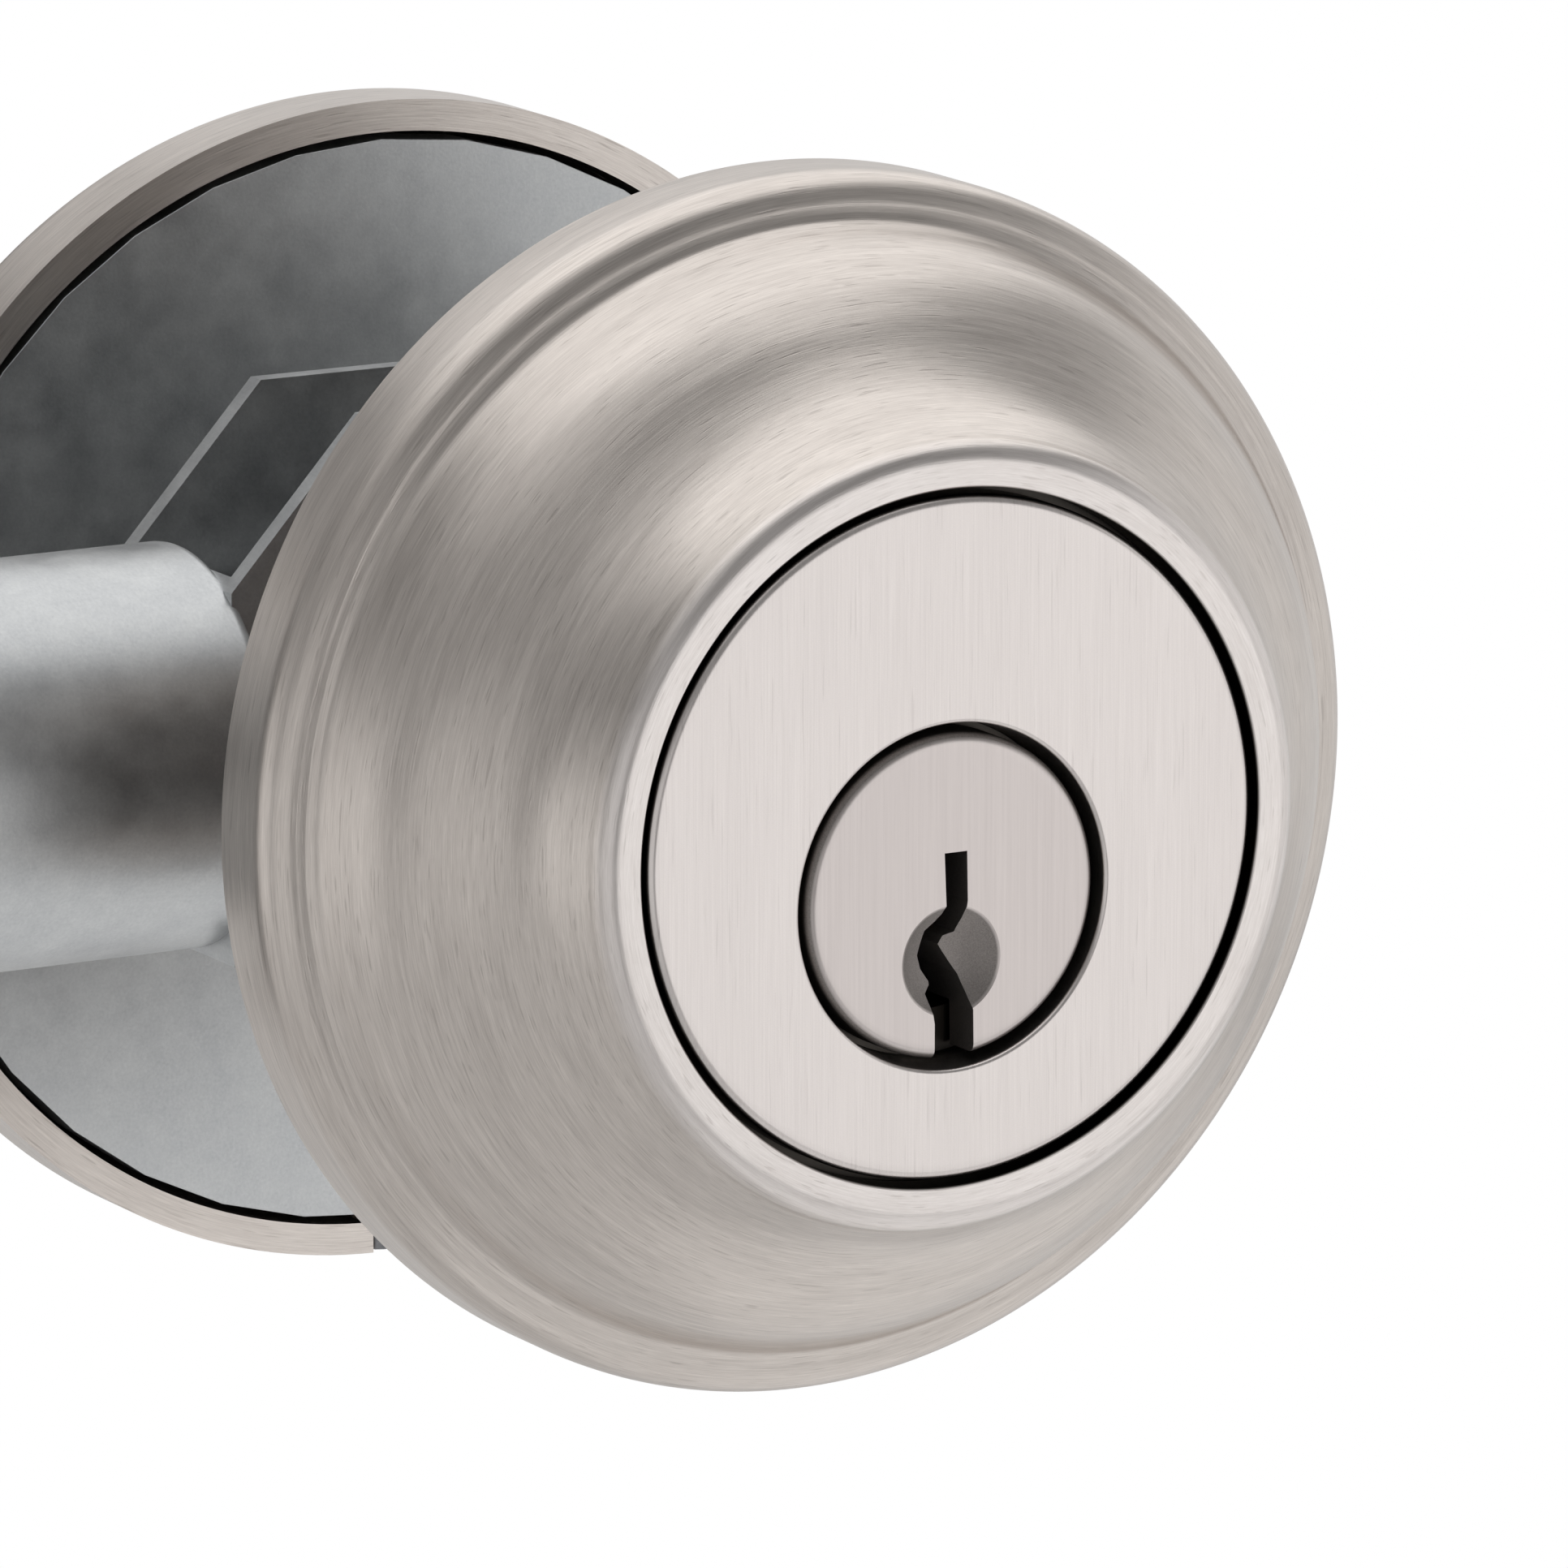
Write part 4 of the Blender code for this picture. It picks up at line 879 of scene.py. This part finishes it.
def buildBolt(spec, metal):
    front, rear, latchY = spec["front"], spec["rear"], lock["latchY"]
    bar = prism(stadium(*spec["size"], 36), front, rear)
    nose = [edge for edge in bar.edges if all(v.co.y < front * mm + 1e-6 for v in edge.verts)]
    made = piece("dead_bolt", alongLatch(bevelled(bar, nose, spec["nose"], 5)), metal)
    radius = spec["coreRadius"]
    core = spun(onAxis([(radius, spec["coreStart"]), (radius, rear + 1)]), 64, closed=False)
    combined(made, "DIFFERENCE", alongLatch(shifted(core, z=-spec["coreDrop"])))
    y0, y1, z0, z1 = spec["barSlot"]
    combined(made, "DIFFERENCE", block(spec["barStart"], rear + 1, latchY + y0, latchY + y1, z0, z1))
    x, z, radius = spec["pin"]
    pin = spun(onAxis([(radius, latchY - 12), (radius, latchY + 12)]), 40, closed=False)
    combined(made, "DIFFERENCE", shifted(pin, x=x, z=z))
    evened(made)
    standsFor(made, "bolt_body", "bolt")


# Smaller pieces keep the frame's shape, with their edges rounded and a finish of their own.
def refine(node, name, body, metal, slotName, edge):
    bm = bmesh.new()
    bm.from_mesh(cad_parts[node].data)
    bmesh.ops.remove_doubles(bm, verts=bm.verts, dist=0.002 * mm)
    bmesh.ops.dissolve_limit(bm, angle_limit=math.radians(1), verts=bm.verts, edges=bm.edges)
    made = piece(name, bm, metal)
    bevel = made.modifiers.new("Edges", "BEVEL")
    bevel.width = edge * mm
    bevel.segments = 2
    bevel.limit_method = "ANGLE"
    bevel.angle_limit = math.radians(40)
    evened(made)
    standsFor(made, body, node)


# The node each stands for: its name, its body, its metal, its material slot and the size of its edges.
smallPieces = {
    "pin_cover": ("pin_chamber_cover", "lock_body", brass, "pin_brass", 0.1),
    "plug_retaining_clip": ("plug_circlip", "plug_body", spring, "spring_steel", 0.08),
    "tailpiece_cap": ("tailpiece_retainer", "plug_body", zinc, "zinc_plated_steel", 0.12),
    "tailpiece": ("flat_tailpiece", "tailpiece_body", zinc, "zinc_plated_steel", 0.12),
    "hub": ("latch_hub", "hub_body", zinc, "zinc_plated_steel", 0.15),
    "crank_arm": ("bolt_crank", "hub_body", zinc, "zinc_plated_steel", 0.15),
    "crank_pin": ("crank_drive_pin", "hub_body", hard, "hardened_steel", 0.12),
    "bolt_core": ("saw_guard_rod", "bolt_body", hard, "hardened_steel", 0.15),
    "bolt_tail": ("bolt_tail_fork", "bolt_body", zinc, "zinc_plated_steel", 0.15),
    "bolt_tail_pin": ("tail_cross_pin", "bolt_body", spring, "spring_steel", 0.1),
    "mounting_plate": ("inside_mounting_plate", "lock_body", zinc, "zinc_plated_steel", 0.2),
    "rose_set_screw": ("rose_grub_screw", "lock_body", hard, "hardened_steel", 0.08),
    "shaft_retaining_ring": ("shaft_circlip", "thumbturn_body", spring, "spring_steel", 0.08),
    "wave_washer": ("shaft_wave_washer", "thumbturn_body", spring, "spring_steel", 0.05),
    "mounting_screw_1": ("through_screw_1", "lock_body", zinc, "zinc_plated_steel", 0.1),
    "mounting_screw_2": ("through_screw_2", "lock_body", zinc, "zinc_plated_steel", 0.1),
    "faceplate_screw_1": ("edge_screw_1", "lock_body", plateMetal, "satin_nickel", 0.08),
    "faceplate_screw_2": ("edge_screw_2", "lock_body", plateMetal, "satin_nickel", 0.08),
}
for index in range(1, 6):
    smallPieces |= {
        f"key_pin_{index}": (f"bottom_pin_{index}", "plug_body", brass, "pin_brass", 0.08),
        f"driver_pin_{index}": (f"top_pin_{index}", "lock_body", brass, "pin_brass", 0.1),
        f"pin_spring_{index}": (f"top_pin_spring_{index}", "lock_body", spring, "spring_steel", 0.03),
    }

buildOuterRose(outerRose)
buildCylinder(cylinder)
buildPlug(plug, plugTones)
buildInnerRose(innerRose)
buildThumbturn(thumbturn)
for plate, metal in (("door_edge_faceplate", plateMetal), ("latch_strap", zinc)):
    buildEdgePlate(plate, edgePlates[plate], metal)
buildLatchCase(latchCase, zinc)
buildBolt(bolt, plateMetal)
for node, details in smallPieces.items():
    refine(node, *details)

# Camera: the view turned and raised, in degrees, and its distance in metres.
shot = {
    "turn": -29.64,
    "rise": 12.23,
    "distance": 0.702,
    "lens": 299.9,
    "sensor": 36,
    "shift": (0.0072, -0.0076),
    "reach": (0.01, 20),
}


def backwards(turn, rise):
    # The direction from the lock to something turned and raised round it, in degrees.
    turn, rise = math.radians(turn), math.radians(rise)
    return Vector((math.sin(turn) * math.cos(rise), -math.cos(turn) * math.cos(rise), math.sin(rise)))


def placeCamera(spec):
    back = backwards(spec["turn"], spec["rise"])
    data = bpy.data.cameras.new("camera")
    data.lens = spec["lens"]
    data.sensor_width = spec["sensor"]
    data.shift_x, data.shift_y = spec["shift"]
    data.clip_start, data.clip_end = spec["reach"]
    camera = bpy.data.objects.new("camera", data)
    camera.location = back * spec["distance"]
    camera.rotation_euler = back.to_track_quat("Z", "Y").to_euler()
    bpy.context.scene.collection.objects.link(camera)
    bpy.context.scene.camera = camera


placeCamera(shot)

# Soft square lights: turned and raised round the lock, and how wide each looks from it, in degrees.
lightDistance = 1.2
softLights = {
    "key": {"turn": 30, "rise": -12, "wide": 42, "level": 0.95},
    "front": {"turn": -40, "rise": -18, "wide": 56, "level": 0.55},
    "left": {"turn": -100, "rise": -14, "wide": 46, "level": 0.7},
    "leftRear": {"turn": -150, "rise": -8, "wide": 44, "level": 0.45},
    "highLeft": {"turn": -52, "rise": 60, "wide": 36, "level": 0.45},
    "right": {"turn": 82, "rise": -4, "wide": 60, "level": 0.6},
    "rear": {"turn": 140, "rise": 8, "wide": 55, "level": 0.5},
    "top": {"turn": 155, "rise": 70, "wide": 74, "level": 1.05},
    "under": {"turn": 60, "rise": -68, "wide": 74, "level": 0.28, "distance": 0.3},
}


def placeLights(lights):
    for name, spec in lights.items():
        back, distance = backwards(spec["turn"], spec["rise"]), spec.get("distance", lightDistance)
        data = bpy.data.lights.new(name, "AREA")
        data.size = 2 * distance * math.tan(math.radians(spec["wide"] / 2))
        data.energy = math.pi * data.size**2 * spec["level"]  # an equal brightness at any size
        made = bpy.data.objects.new(name, data)
        made.location = back * distance
        made.visible_camera = False
        made.rotation_euler = back.to_track_quat("Z", "Y").to_euler()
        bpy.context.scene.collection.objects.link(made)


placeLights(softLights)
print("placed the camera and the lights", flush=True)

paleFloor = {"radius": 0.8, "height": -0.32, "dark": (0.84, 0.84, 0.84), "light": (0.88, 0.88, 0.88)}


def layFloor(spec):
    # A pale round floor, well below the lock, out of the camera's sight.
    bm = bmesh.new()
    bmesh.ops.create_circle(bm, cap_ends=True, segments=96, radius=spec["radius"])
    bm.transform(Matrix.Translation((0, 0, spec["height"])))
    paint = Paint("pale_floor")
    x, y, z = parted(paint)
    grain = paint.noise(paint.joined(x, y, z), 0.05, 3.0, 0.6)
    colour = paint.mixed(grain, spec["dark"], spec["light"])
    made = piece("floor", bm, paint.finish(colour, 0.8, metallic=0.0))
    made.visible_camera = False


layFloor(paleFloor)


def lightRoom(level):
    # A white background to the camera, and an even, dimmer glow to the lock.
    world = bpy.data.worlds.new("room")
    bpy.context.scene.world = world
    world.use_nodes = True
    tree = world.node_tree
    paper = tree.nodes["Background"]
    paper.inputs["Color"].default_value = (1.0, 1.0, 1.0, 1.0)
    paper.inputs["Strength"].default_value = 1.0
    glow = tree.nodes.new("ShaderNodeBackground")
    glow.inputs["Strength"].default_value = level
    rays = tree.nodes.new("ShaderNodeLightPath")
    mix = tree.nodes.new("ShaderNodeMixShader")
    tree.links.new(rays.outputs["Is Camera Ray"], mix.inputs[0])
    tree.links.new(glow.outputs[0], mix.inputs[1])
    tree.links.new(paper.outputs[0], mix.inputs[2])
    tree.links.new(mix.outputs[0], tree.nodes["World Output"].inputs[0])
    bpy.context.scene.view_settings.view_transform = "Standard"


lightRoom(0.34)
